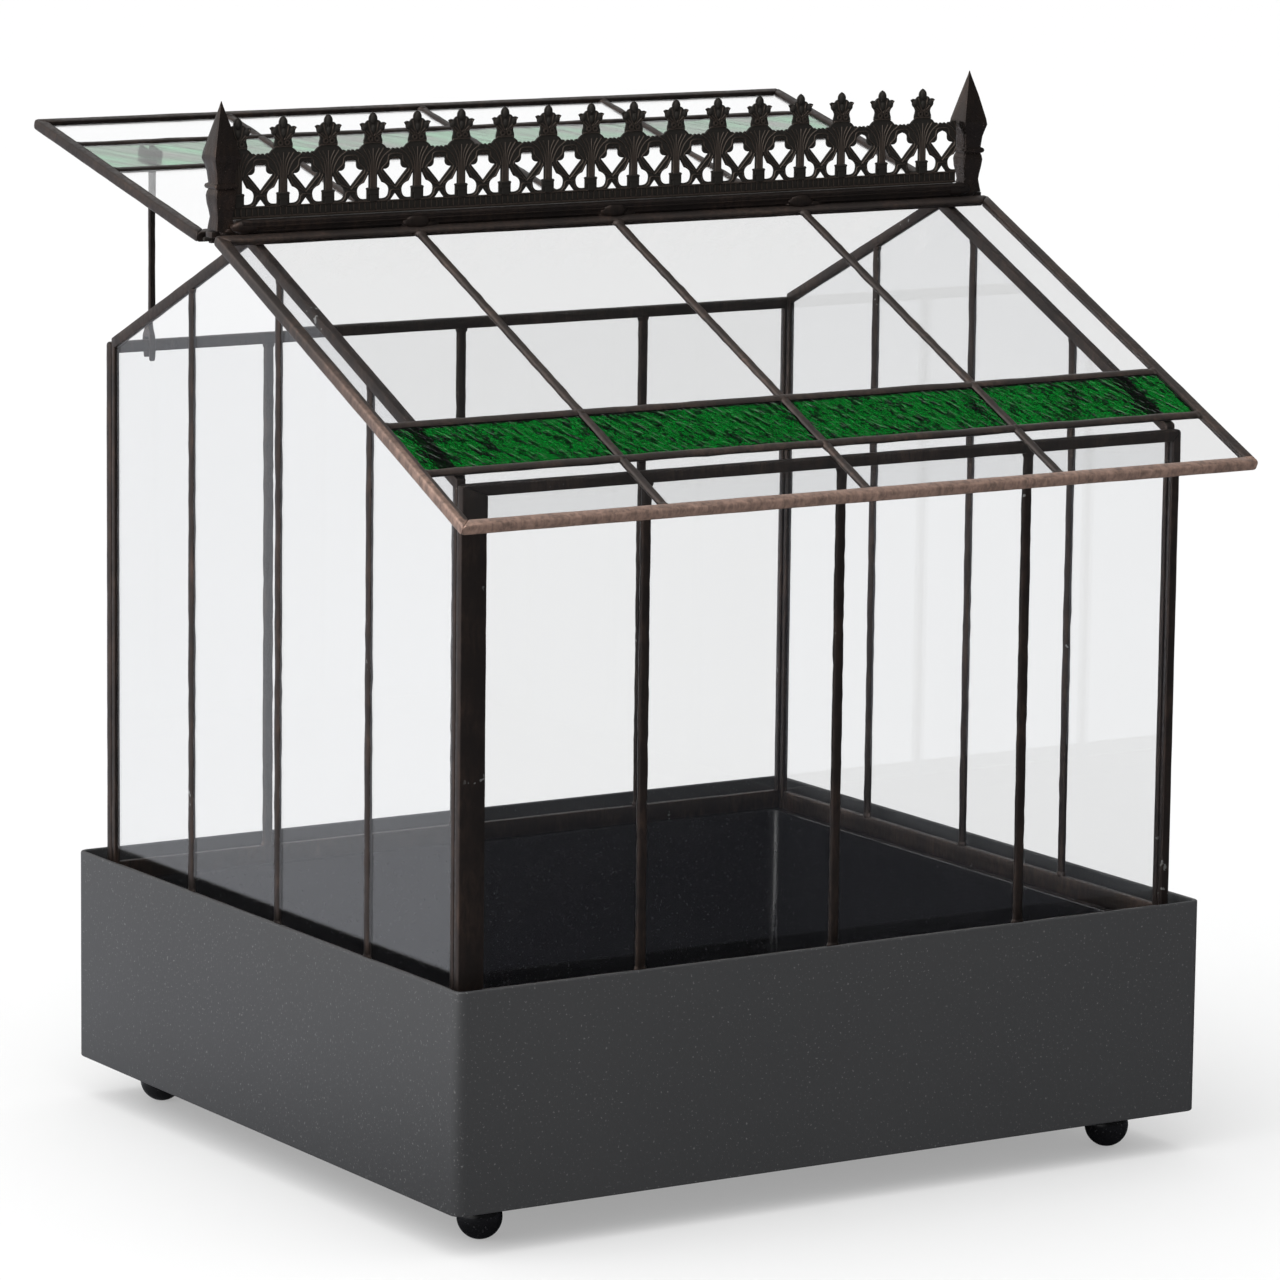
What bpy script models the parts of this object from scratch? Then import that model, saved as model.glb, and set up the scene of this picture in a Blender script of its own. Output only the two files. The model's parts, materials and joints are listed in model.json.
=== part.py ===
"""Glass plant house on a footed planter: four glazed walls, a fixed glazed front roof and a propped glazed lid.

Metres, +Z up. The long axis is X, the fixed roof slopes down towards -Y and the lid opens at +Y.
Everything is laid out from the planter's centre, and house_origin shifts it so that the whole is centred.
"""
import math

import bmesh
import bpy
from mathutils import Euler, Matrix, Vector

# ---- driving sizes, metres ----
planter_width = 0.3850
planter_depth = 0.3414
planter_height = 0.0960
planter_wall = 0.0020
planter_corner = 0.0050
foot_height = 0.0184
foot_ball = 0.0198
foot_inset = 0.0286
ledge_drop = 0.0132
side_gap = 0.0084
end_gap = 0.0135
roof_pitch = math.radians(25.0)
apex_height = 0.4096
apex_y = 0.0280
roof_overhang = 0.0187
eave_overhang = 0.0328
frame_depth = 0.0044
roof_depth = 0.0046
came = 0.0050
front_posts = (0.0124, 0.0040)
back_posts = (0.0050, 0.0050)
gable_post = 0.0030
bottom_rail = 0.0092
roof_border = 0.0050
glass = 0.0024
open_angle = math.radians(38.3)
lid_overhang = 0.0267
band_width = 0.0362
lid_free_strip = 0.0340
eave_strip = 0.0420
# mullion centres, as shares of the house's half length and of the roof's
front_shares = (-0.508, 0.027, 0.557)
back_shares = (-0.546, 0.0, 0.543)
roof_shares = (-0.508, -0.005, 0.488)
bar_front, bar_back = 0.0028, 0.0030
cap_front, cap_back = 0.0080, 0.0075
crest_height = 0.0440
crest_pitch = 0.02241
crest_thick = 0.0016
# heights of the cresting's top edge at its ends and between two crowns, as shares of its height
crest_end_share, crest_between_share = 0.595, 0.632
finial_height = 0.0557
liner_wall = 0.0012
liner_rim = 0.0040
ledge_thick = 0.0020
hinge_radius = 0.00100
tube_radius = 0.0022
knuckle_width = 0.0030
knuckle_arm = 0.0010
prop_inset = 0.0221
prop_width = 0.0030
prop_thick = 0.0024
prop_head = 0.0026
prop_drop = 0.0060
fork_depth = 0.0094
fork_wall = 0.0012
fork_shoulder = 0.0052
fork_taper = 0.0040
ear_thick = 0.0016
ear_reach = 0.0034
pin_radius = 0.0010

# ---- clearances and sizes that follow ----
gap = 0.0003
running = 0.00012
lap = 0.0015
through = 0.0010
half_w, half_d = planter_width / 2, planter_depth / 2
rim_z = foot_height + planter_height
ledge_z = rim_z - ledge_drop
house_x, house_y = half_w - side_gap, half_d - end_gap
house_z = ledge_z + gap
tan_p, cos_p, sin_p = math.tan(roof_pitch), math.cos(roof_pitch), math.sin(roof_pitch)
front_top = apex_height - (apex_y + house_y) * tan_p
back_top = apex_height - (house_y - apex_y) * tan_p
roof_x = house_x + roof_overhang
lid_x = roof_x - 0.0018
front_mullions = [share * house_x for share in front_shares]
back_mullions = [share * house_x for share in back_shares]
roof_mullions = [share * roof_x for share in roof_shares]
ridge_y = apex_y - 0.0010
roof_top_y = apex_y - 0.0075
roof_length = (roof_top_y + house_y + eave_overhang) / cos_p
roof_lift = gap + roof_depth / 2
hinge_y = apex_y + 0.0095
hinge_z = apex_height - (hinge_y - apex_y) * tan_p + roof_lift / cos_p
lid_angle = open_angle - roof_pitch
lid_start = tube_radius + gap
lid_end = (house_y + lid_overhang - hinge_y) / cos_p
lid_bar = lid_end - lid_free_strip
ridge_z = apex_height + gap
finial_z = ridge_z + 0.0029
cap_z = ridge_z + 0.0051
cap_thick = 0.0018
crest_z = cap_z + cap_thick + gap
finial_x = roof_x - 0.0065
cap_x = roof_x - 0.0130
crest_half = roof_x - 0.0138
crest_posts = 2 * round(crest_half / crest_pitch) + 1
knuckle_x = roof_x - 0.0083
prop_x = prop_inset - house_x
wall_mid_y = house_y - frame_depth / 2
prop_reach = (wall_mid_y - hinge_y - prop_drop * math.sin(lid_angle)) / math.cos(lid_angle)
prop_pivot_z = hinge_z + prop_reach * math.sin(lid_angle) - prop_drop * math.cos(lid_angle)
lid_back = hinge_y + lid_end * math.cos(lid_angle) + roof_depth / 2 * math.sin(lid_angle)
shift_y = (house_y + eave_overhang - lid_back) / 2

UPRIGHT = (math.pi / 2, 0, 0)
SIDEWAYS = (math.pi / 2, 0, math.pi / 2)

# ---- finishes: colour, metallic, roughness, transmission ----
PATINA = ((0.035, 0.030, 0.027), 0.9, 0.42, 0.0)
CLEAR = ((0.93, 0.95, 0.95), 0.0, 0.02, 0.95)
GREEN = ((0.0, 0.22, 0.03), 0.0, 0.06, 0.6)
STEEL = ((0.055, 0.057, 0.060), 0.4, 0.45, 0.0)
BLACK = ((0.012, 0.012, 0.013), 0.2, 0.30, 0.0)


def start():
    """Empty the file, and make the two collections and the two empties that carry the object."""
    for ob in list(bpy.data.objects):
        bpy.data.objects.remove(ob)
    for name in ("glass_cloche", "cutters"):
        bpy.context.scene.collection.children.link(bpy.data.collections.new(name))
    empty("house_origin", (0, shift_y, 0), None)
    empty("lid_axis", (0, hinge_y, hinge_z), "house_origin").rotation_euler = (lid_angle, 0, 0)
    empty("prop_axis", (prop_x, wall_mid_y, prop_pivot_z), "house_origin")


def empty(name, location, parent):
    ob = bpy.data.objects.new(name, None)
    ob.location = location
    ob.empty_display_size = 0.02
    bpy.data.collections["glass_cloche"].objects.link(ob)
    if parent:
        ob.parent = bpy.data.objects[parent]
    return ob


def finish(name, colour, metallic, roughness, transmission):
    mat = bpy.data.materials.new(name)
    mat.use_nodes = True
    shader = mat.node_tree.nodes["Principled BSDF"]
    shader.inputs["Base Color"].default_value = (*colour, 1.0)
    shader.inputs["Metallic"].default_value = metallic
    shader.inputs["Roughness"].default_value = roughness
    shader.inputs["Transmission Weight"].default_value = transmission
    return mat


def add(name, mesh, look=None, location=(0, 0, 0), rotation=(0, 0, 0), parent="house_origin"):
    """Put a mesh into the scene as a named piece, or as a cutter when it has no look."""
    ob = bpy.data.objects.new(name, mesh)
    ob.location = location
    ob.rotation_euler = rotation
    ob.parent = bpy.data.objects[parent]
    if look:
        mesh.materials.append(finish(name + "_finish", *look))
        bpy.data.collections["glass_cloche"].objects.link(ob)
    else:
        ob.hide_render = True
        ob.display_type = "WIRE"
        bpy.data.collections["cutters"].objects.link(ob)
    return ob


def combine(ob, other, operation):
    mod = ob.modifiers.new(operation.lower() + "_" + other.name, "BOOLEAN")
    mod.operation = operation
    mod.object = other
    mod.solver = "EXACT"


def mesh_of(bm, name):
    bmesh.ops.recalc_face_normals(bm, faces=bm.faces)
    mesh = bpy.data.meshes.new(name)
    bm.to_mesh(mesh)
    bm.free()
    return mesh


def boxes(spans):
    """One mesh of separate boxes, each ((x0, x1), (y0, y1), (z0, z1))."""
    bm = bmesh.new()
    for span in spans:
        size = [b - a for a, b in span]
        centre = [(a + b) / 2 for a, b in span]
        turn = Matrix.Translation(centre) @ Matrix.Diagonal((*size, 1.0))
        bmesh.ops.create_cube(bm, size=1.0, matrix=turn)
    return mesh_of(bm, "boxes")


def cylinder(radius, length, sides):
    """A capped cylinder along X, centred on its own origin."""
    bm = bmesh.new()
    bmesh.ops.create_cone(bm, cap_ends=True, segments=sides, radius1=radius, radius2=radius, depth=length,
                          matrix=Euler((0, math.pi / 2, 0)).to_matrix().to_4x4())
    mesh = mesh_of(bm, "cylinder")
    mesh.shade_smooth()
    mesh.set_sharp_from_angle(angle=math.radians(40))
    return mesh


def flat(loops, thickness):
    """A flat plate from closed outlines, with holes where one outline lies inside another."""
    curve = bpy.data.curves.new("outline", "CURVE")
    curve.dimensions = "2D"
    curve.fill_mode = "BOTH"
    curve.extrude = thickness / 2
    for loop in loops:
        spline = curve.splines.new("POLY")
        spline.points.add(len(loop) - 1)
        for point, (a, b) in zip(spline.points, loop):
            point.co = (a, b, 0, 1)
        spline.use_cyclic_u = True
    ob = bpy.data.objects.new("outline", curve)
    bpy.context.scene.collection.objects.link(ob)
    depsgraph = bpy.context.evaluated_depsgraph_get()
    mesh = bpy.data.meshes.new_from_object(ob.evaluated_get(depsgraph))
    bpy.data.objects.remove(ob)
    bm = bmesh.new()
    bm.from_mesh(mesh)
    bpy.data.meshes.remove(mesh)
    bmesh.ops.remove_doubles(bm, verts=bm.verts, dist=0.00001)
    return mesh_of(bm, "plate")


def turned(name, profile, steps, look, location, turn=0.0):
    """A profile in X and Z, from the top down, turned about Z."""
    mesh = bpy.data.meshes.new(name)
    mesh.from_pydata([(r, 0, z) for r, z in profile], [(i, i + 1) for i in range(len(profile) - 1)], [])
    ob = add(name, mesh, look, location, (0, 0, turn))
    screw = ob.modifiers.new("turn", "SCREW")
    screw.steps = screw.render_steps = steps
    screw.use_merge_vertices = True
    screw.merge_threshold = 0.00001
    return ob


def arc(radius, start_deg, end_deg, count, centre=(0, 0)):
    angles = [math.radians(start_deg + (end_deg - start_deg) * i / count) for i in range(count + 1)]
    return [(centre[0] + radius * math.cos(a), centre[1] + radius * math.sin(a)) for a in angles]


def circle(radius, count):
    return arc(radius, 0, 360, count)[:-1]


# ---- planter, feet and liner ----
def open_box(half_x, half_y, z0, z1, corner, segments):
    """A box with rounded upright edges and no top face."""
    bm = bmesh.new()
    middle = Matrix.Translation((0, 0, (z0 + z1) / 2))
    bmesh.ops.create_cube(bm, size=1.0, matrix=middle @ Matrix.Diagonal((2 * half_x, 2 * half_y, z1 - z0, 1)))
    upright = [e for e in bm.edges if abs(e.verts[0].co.z - e.verts[1].co.z) > 0.001]
    bmesh.ops.bevel(bm, geom=upright, offset=corner, segments=segments, profile=0.5, affect="EDGES")
    top = [f for f in bm.faces if f.calc_center_median().z > z1 - 0.00001]
    bmesh.ops.delete(bm, geom=top, context="FACES_ONLY")
    return mesh_of(bm, "open_box")


def thicken(ob, thickness, rounding):
    shell = ob.modifiers.new("wall", "SOLIDIFY")
    shell.thickness = thickness
    shell.offset = -1
    shell.use_even_offset = True
    soft = ob.modifiers.new("soft_edges", "BEVEL")
    soft.width = rounding
    soft.segments = 2
    soft.limit_method = "ANGLE"
    soft.angle_limit = math.radians(60)


def ring_plate(outer, inner, thickness):
    """A rectangular ring; outer and inner are half sizes."""
    loops = [[(sx * a, sy * b) for sx, sy in ((1, 1), (-1, 1), (-1, -1), (1, -1))] for a, b in (outer, inner)]
    return flat(loops, thickness)


ledge_reach = frame_depth + liner_rim
ledge_inner = (house_x - ledge_reach, house_y - ledge_reach)


def make_planter():
    ob = add("planter_box", open_box(half_w, half_d, foot_height, rim_z, planter_corner, 4), STEEL)
    thicken(ob, planter_wall, 0.0007)
    inside = (half_w - planter_wall / 2, half_d - planter_wall / 2)
    ledge = ring_plate(inside, ledge_inner, ledge_thick)
    combine(ob, add("ledge_ring", ledge, location=(0, 0, ledge_z - ledge_thick / 2)), "UNION")


def make_feet():
    radius = foot_ball / 2
    centre = radius - 0.0004
    top = foot_height - gap
    ball = arc(radius, 58, math.degrees(math.asin(-centre / radius)), 8, (0, centre))
    profile = [(0, top), (ball[0][0], top)] + ball + [(0, 0)]
    for name, sx, sy in (("foot_front_left", -1, -1), ("foot_front_right", 1, -1),
                         ("foot_back_left", -1, 1), ("foot_back_right", 1, 1)):
        foot = turned(name, profile, 20, BLACK, (sx * (half_w - foot_inset), sy * (half_d - foot_inset), 0))
        foot.data.shade_smooth()


def make_liner():
    rim = (house_x - frame_depth - 3 * gap, house_y - frame_depth - 3 * gap)
    wall = (ledge_inner[0] - through, ledge_inner[1] - through)
    rim_bottom = ledge_z + gap
    bottom = foot_height + planter_wall + through
    ob = add("liner_tray", open_box(*wall, bottom, rim_bottom + liner_wall, 0.006, 3), BLACK)
    thicken(ob, liner_wall, 0.0004)
    inner = (wall[0] - liner_wall / 2, wall[1] - liner_wall / 2)
    flange = ring_plate(rim, inner, liner_wall * 0.8)
    combine(ob, add("liner_flange", flange, location=(0, 0, rim_bottom + liner_wall * 0.4)), "UNION")


# ---- glazing: a frame with openings, a slot behind each opening's edge, and a pane in each slot ----
def windows(low, high, bars):
    """The clear spans from low to high between the bars, whose centres are given."""
    ends = [low] + [x for c in bars for x in (c - came / 2, c + came / 2)] + [high]
    return list(zip(ends[::2], ends[1::2]))


def grown(span, by):
    return (span[0] - by, span[1] + by)


def glaze_grid(frame, columns, rows, depth, where, looks, names):
    """Cut a rectangular grid of windows and slots in a frame and put a pane in each."""
    cells = [(c, r) for r in rows for c in columns]
    reach = (-depth / 2 - through, depth / 2 + through)
    slot = (-glass / 2 - gap, glass / 2 + gap)
    holes = boxes([(c, r, reach) for c, r in cells])
    slots = boxes([(grown(c, lap + gap), grown(r, lap + gap), slot) for c, r in cells])
    combine(frame, add(frame.name + "_openings", holes, **where), "DIFFERENCE")
    combine(frame, add(frame.name + "_slots", slots, **where), "DIFFERENCE")
    for (c, r), look, name in zip(cells, looks, names):
        pane = boxes([(grown(c, lap), grown(r, lap), (-glass / 2, glass / 2))])
        add(name, pane, look, **where)


def make_long_wall(side, y, top, posts, bars):
    where = dict(location=(0, y, 0), rotation=UPRIGHT)
    slab = boxes([((-house_x, house_x), (house_z, top), (-frame_depth / 2, frame_depth / 2))])
    frame = add(side + "_wall_frame", slab, PATINA, **where)
    columns = windows(posts[0] - house_x, house_x - posts[1], bars)
    names = [f"{side}_wall_pane_{i + 1}" for i in range(len(columns))]
    rows = [(house_z + bottom_rail, top - came)]
    glaze_grid(frame, columns, rows, frame_depth, where, [CLEAR] * len(names), names)


def under_roof(y):
    return apex_height - abs(apex_y - y) * tan_p


def gable_outline(span, low, drop):
    """A wall's outline between two Y values, with its top this far below the roof's underside."""
    tops = [y for y in (span[0], apex_y, span[1]) if span[0] <= y <= span[1]]
    return [(span[0], low), (span[1], low)] + [(y, under_roof(y) - drop) for y in reversed(tops)]


def make_gable(side, x):
    where = dict(location=(x, 0, 0), rotation=SIDEWAYS)
    edge = house_y - frame_depth - gap
    rail = came / cos_p
    frame = add(side + "_gable_frame", flat([gable_outline((-edge, edge), house_z, 0)], frame_depth), PATINA, **where)
    spans = windows(gable_post - edge, edge - gable_post, (-house_y / 2, 0, house_y / 2))
    low = house_z + bottom_rail
    holes = flat([gable_outline(s, low, rail) for s in spans], frame_depth + 2 * through)
    wide = lap + gap
    slots = flat([gable_outline(grown(s, wide), low - wide, rail - wide / cos_p) for s in spans], glass + 2 * gap)
    combine(frame, add(side + "_gable_openings", holes, **where), "DIFFERENCE")
    combine(frame, add(side + "_gable_slots", slots, **where), "DIFFERENCE")
    for i, span in enumerate(spans):
        pane = flat([gable_outline(grown(span, lap), low - lap, rail - lap / cos_p)], glass)
        add(f"{side}_gable_pane_{i + 1}", pane, CLEAR, **where)


# ---- fixed roof and lid: four columns by three rows, the middle row in green ----
def make_glazed_roof(prefix, half_x, low, high, band, where):
    slab = boxes([((-half_x, half_x), (low, high), (-roof_depth / 2, roof_depth / 2))])
    frame = add(prefix + "_frame", slab, PATINA, **where)
    columns = windows(roof_border - half_x, half_x - roof_border, roof_mullions)
    rows = windows(low + roof_border, high - roof_border, band)
    rows.sort(key=lambda row: row[0] - row[1])
    rows[1:] = sorted(rows[1:], key=lambda row: abs(sum(row) / 2 - sum(band) / 2))
    kinds = (("upper", CLEAR), ("band", GREEN), ("edge", CLEAR))
    looks = [look for _, look in kinds for _ in columns]
    names = [f"{prefix}_{kind}_pane_{i + 1}" for kind, _ in kinds for i in range(len(columns))]
    glaze_grid(frame, columns, rows, roof_depth, where, looks, names)
    return frame


def make_front_roof():
    top = (roof_top_y + sin_p * (roof_depth + gap), 0)
    foot_y = top[0] - roof_length * cos_p
    foot = (0, foot_y - roof_lift * sin_p, under_roof(foot_y) + roof_lift * cos_p)
    where = dict(location=foot, rotation=(roof_pitch, 0, 0))
    make_glazed_roof("front_roof", roof_x, 0, roof_length, (eave_strip, eave_strip + band_width), where)


def make_lid():
    where = dict(parent="lid_axis")
    frame = make_glazed_roof("lid", lid_x, lid_start, lid_end, (lid_bar - band_width, lid_bar), where)
    tube = add("lid_hinge_tube", cylinder(tube_radius, 2 * cap_x, 20), PATINA, **where)
    combine(tube, add("hinge_bore", cylinder(hinge_radius + running, 2.1 * cap_x, 20), **where), "DIFFERENCE")
    low, high, top = -prop_drop - 0.0028, -roof_depth / 2 + 0.0006, lid_bar - 0.0014
    start = prop_reach - ear_reach
    ear = [(start, low), (top, low), (top, high), (start, high)]
    bore = [(prop_reach + a, b - prop_drop) for a, b in circle(pin_radius + gap, 12)]
    offset = prop_width / 2 + gap + ear_thick / 2
    for side, x in (("left", prop_x - offset), ("right", prop_x + offset)):
        ears = add("prop_ear_" + side, flat([ear, bore], ear_thick), None, (x, 0, 0), SIDEWAYS, "lid_axis")
        combine(frame, ears, "UNION")


# ---- ridge: bar with hinge knuckles, pierced cresting and two finials ----
def make_ridge():
    def across(half_x, front, back, low, high):
        return boxes([((-half_x, half_x), (ridge_y - front, ridge_y + back), (low, high))])

    bar = add("ridge_bar", across(roof_x - 0.0004, bar_front, bar_back, ridge_z, finial_z - gap), PATINA)
    inset = 0.0002
    web = across(cap_x + inset, bar_front - inset, bar_back - inset, ridge_z + through, cap_z + cap_thick / 4)
    cap = across(cap_x, cap_front, cap_back, cap_z, cap_z + cap_thick)
    combine(bar, add("ridge_web", web), "UNION")
    combine(bar, add("ridge_cap", cap), "UNION")
    arm_y = ridge_y + bar_back - through - hinge_y
    arm_z = ridge_z + knuckle_arm / 2 - hinge_z
    outline = arc(tube_radius - inset, -90, 90, 12) + [(arm_y, arm_z + knuckle_arm), (arm_y, arm_z)]
    for side, x in (("left", -knuckle_x), ("right", knuckle_x)):
        knuckle = flat([outline, circle(hinge_radius + gap, 16)], knuckle_width)
        combine(bar, add("hinge_knuckle_" + side, knuckle, None, (x, hinge_y, hinge_z), SIDEWAYS), "UNION")
    add("hinge_rod", cylinder(hinge_radius, 2 * knuckle_x + 0.0090, 20), PATINA, (0, hinge_y, hinge_z))


def crest_crown(centre):
    """The right half of a post's capital and leafy crown, from its tip down, mirrored for the left."""
    half = ((0.0018, 0.914), (0.0034, 0.868), (0.0064, 0.882), (0.0026, 0.784), (0.0030, 0.723),
            (0.0046, 0.682), (0.0085, 0.595))
    left = [(centre - a, b * crest_height) for a, b in reversed(half)]
    right = [(centre + a, b * crest_height) for a, b in half]
    return left + [(centre, crest_height)] + right


def crest_holes(centre):
    """A tulip, a small triangle below it and a lobe to each side, all between two posts."""
    tulip = ((0.0022, 0.505), (0.0046, 0.514), (0.0054, 0.445), (0.0030, 0.386), (0.0008, 0.300))
    triangle = ((0.0, 0.191), (-0.0026, 0.114), (0.0026, 0.114))
    lobe = ((0.0024, 0.255), (0.0052, 0.318), (0.0082, 0.309), (0.0092, 0.227), (0.0078, 0.145),
            (0.0052, 0.141), (0.0040, 0.195))
    mirrored = [(0.0, 0.545)] + list(tulip) + [(-a, b) for a, b in reversed(tulip)]
    loops = [mirrored, triangle, lobe, [(-a, b) for a, b in lobe]]
    return [[(centre + a, b * crest_height) for a, b in loop] for loop in loops]


def make_cresting():
    first = -crest_pitch * (crest_posts - 1) / 2
    centres = [first + i * crest_pitch for i in range(crest_posts)]
    end_z, between_z = crest_end_share * crest_height, crest_between_share * crest_height
    top = [(-crest_half, end_z)]
    for centre in centres:
        if centre > first:
            top.append((centre - crest_pitch / 2, between_z))
        top += [p for p in crest_crown(centre) if abs(p[0]) < crest_half - 0.0002]
    top.append((crest_half, end_z))
    loops = [[(crest_half, 0), (-crest_half, 0)] + top]
    for centre in centres[:-1]:
        loops += crest_holes(centre + crest_pitch / 2)
    add("ridge_cresting", flat(loops, crest_thick), PATINA, (0, ridge_y, crest_z), UPRIGHT)


def make_finials():
    """Square spearheads: the profile's radius is half a side, and four steps make the section square."""
    halves = ((0.0, 1.0), (0.0004, 0.999), (0.0060, 0.602), (0.0063, 0.557), (0.0048, 0.460), (0.0042, 0.370),
              (0.0052, 0.359), (0.0052, 0.327), (0.0043, 0.320), (0.0049, 0.269), (0.0046, 0.212),
              (0.0036, 0.104), (0.0042, 0.036), (0.0044, 0.0), (0.0, 0.0))
    profile = [(half * math.sqrt(2), share * finial_height) for half, share in halves]
    for name, x in (("finial_left", -finial_x), ("finial_right", finial_x)):
        turned(name, profile, 4, PATINA, (x, ridge_y, finial_z), math.pi / 4)


# ---- prop: a forked strip that hangs from two ears under the lid and straddles the back wall ----
def make_prop():
    inner = frame_depth / 2 + gap
    outer = inner + fork_wall
    crotch = back_top + gap - prop_pivot_z
    tip = back_top - fork_depth - prop_pivot_z
    shoulder = crotch + fork_shoulder
    half = prop_thick / 2
    side = [(half, 0.0004 - prop_head), (half, shoulder + fork_taper), (outer, shoulder), (outer, tip),
            (inner, tip), (inner, crotch)]
    outline = arc(prop_head, 220, -40, 13) + side + [(-a, b) for a, b in reversed(side)]
    where = dict(rotation=SIDEWAYS, parent="prop_axis")
    add("prop_rod", flat([outline, circle(pin_radius + running, 12)], prop_width), PATINA, **where)
    length = prop_width + 2 * (gap + ear_thick) + 0.0010
    add("prop_pivot_pin", cylinder(pin_radius, length, 12), PATINA, parent="prop_axis")


def main():
    start()
    make_planter()
    make_feet()
    make_liner()
    make_long_wall("front", -wall_mid_y, front_top, front_posts, front_mullions)
    make_long_wall("back", wall_mid_y, back_top, back_posts, back_mullions)
    make_gable("left", -house_x + frame_depth / 2)
    make_gable("right", house_x - frame_depth / 2)
    make_front_roof()
    make_ridge()
    make_cresting()
    make_finials()
    make_lid()
    make_prop()


main()
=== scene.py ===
"""Looks for a glass plant house: a painted planter on ball feet, a black liner, four glazed walls in dark
soldered came, a fixed roof and a propped lid with green bands, and a pierced cresting between two finials."""
import json
import math

import bmesh
import bpy
from mathutils import Matrix, Vector


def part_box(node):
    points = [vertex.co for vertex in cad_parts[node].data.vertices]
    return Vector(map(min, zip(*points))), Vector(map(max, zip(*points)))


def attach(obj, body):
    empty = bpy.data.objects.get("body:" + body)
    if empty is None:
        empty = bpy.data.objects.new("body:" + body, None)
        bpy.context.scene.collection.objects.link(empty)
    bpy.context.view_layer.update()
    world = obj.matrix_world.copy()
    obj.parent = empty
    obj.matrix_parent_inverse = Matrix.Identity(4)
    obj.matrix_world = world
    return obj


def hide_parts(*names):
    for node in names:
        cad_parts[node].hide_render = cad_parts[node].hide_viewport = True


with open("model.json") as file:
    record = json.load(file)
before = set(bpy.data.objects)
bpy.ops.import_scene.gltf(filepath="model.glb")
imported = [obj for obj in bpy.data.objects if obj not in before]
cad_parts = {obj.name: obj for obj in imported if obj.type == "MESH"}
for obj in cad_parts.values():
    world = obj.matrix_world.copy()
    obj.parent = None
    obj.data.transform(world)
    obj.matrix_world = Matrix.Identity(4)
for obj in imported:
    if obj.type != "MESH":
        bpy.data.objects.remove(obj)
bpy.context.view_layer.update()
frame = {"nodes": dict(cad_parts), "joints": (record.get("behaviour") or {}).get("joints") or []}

bl_info = {
    "name": "Glass plant house",
    "version": (1, 0, 0),
    "blender": (4, 5, 0),
    "location": "View3D > Sidebar > Plant house",
    "description": "Builds the visible pieces and finishes of a small glass plant house",
    "category": "Object",
}

MM = 0.001
ROOF_PITCH = math.radians(25.0)
OPEN_ANGLE = math.radians(38.3)
PANE_LAP = 0.0015
CREST_PITCH = 0.02241
CAME_LUMP_SHARE = 0.35
CAME_LUMP_SPAN = 12 * MM
SOLDER_LUMP_SPAN = 6 * MM
FIT_GAP = 0.3 * MM
SAME_PLACE = 1e-5
BACKDROP = (1.22, 1.22, 1.22, 1.0)
SKY_FILL = (1.1, 1.1, 1.1, 1.0)
CAMERA_PLACE = (-1.5458, -2.4481, 0.7132)
CAMERA_TURN, CAMERA_TILT, CAMERA_ROLL = -32.346, 90 - 9.639, 0.692


# ---- what a user would change ----
def length_setting(name, description, default, low, high):
    return bpy.props.FloatProperty(name=name, description=description, default=default, min=low, max=high,
                                   unit="LENGTH")


def share_setting(name, description, default, low, high):
    return bpy.props.FloatProperty(name=name, description=description, default=default, min=low, max=high,
                                   subtype="FACTOR")


def colour_setting(name, description, default):
    return bpy.props.FloatVectorProperty(name=name, description=description, default=default, size=3,
                                         min=0, max=1, subtype="COLOR")


class PlantHouseSizes(bpy.types.PropertyGroup):
    solder_round: share_setting(
        "Solder rounding", "How far a mullion's edges are rounded, as a share of its depth", 0.46, 0.05, 0.49)
    solder_rise: length_setting(
        "Solder height", "How far a mullion's solder stands above the glass", 0.0007, 0.0002, 0.002)
    solder_lump: length_setting(
        "Solder lumps", "Height of the lumps along a hand-run solder bead", 0.0008, 0, 0.003)
    came_edge: length_setting(
        "Came edge", "Rounding of the folded came round each frame", 0.0007, 0.0001, 0.002)
    came_lip: length_setting(
        "Came lip", "Width of the lips beside the raised line on a border's outer face",
        0.0016, 0.0005, 0.003)
    joint_blob: share_setting(
        "Solder blobs", "Radius of the solder where two mullions cross, as a share of their width",
        0.66, 0.5, 1.2)
    planter_corner: length_setting(
        "Planter corner", "Radius of the planter's upright corners", 0.0050, 0.001, 0.02)
    planter_sheet: length_setting(
        "Planter sheet", "Thickness of the planter's wall", 0.0024, 0.001, 0.004)
    liner_rim: length_setting(
        "Liner rim", "How far the liner's flange stands out from its wall", 0.0041, 0.001, 0.01)
    crest_sheet: length_setting(
        "Cresting thickness", "Thickness of the cresting's pierced plate", 0.0010, 0.001, 0.003)
    crest_start: length_setting(
        "First crown", "Distance of the cresting's first crown from the left finial's middle",
        0.0080, 0, 0.02)


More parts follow.
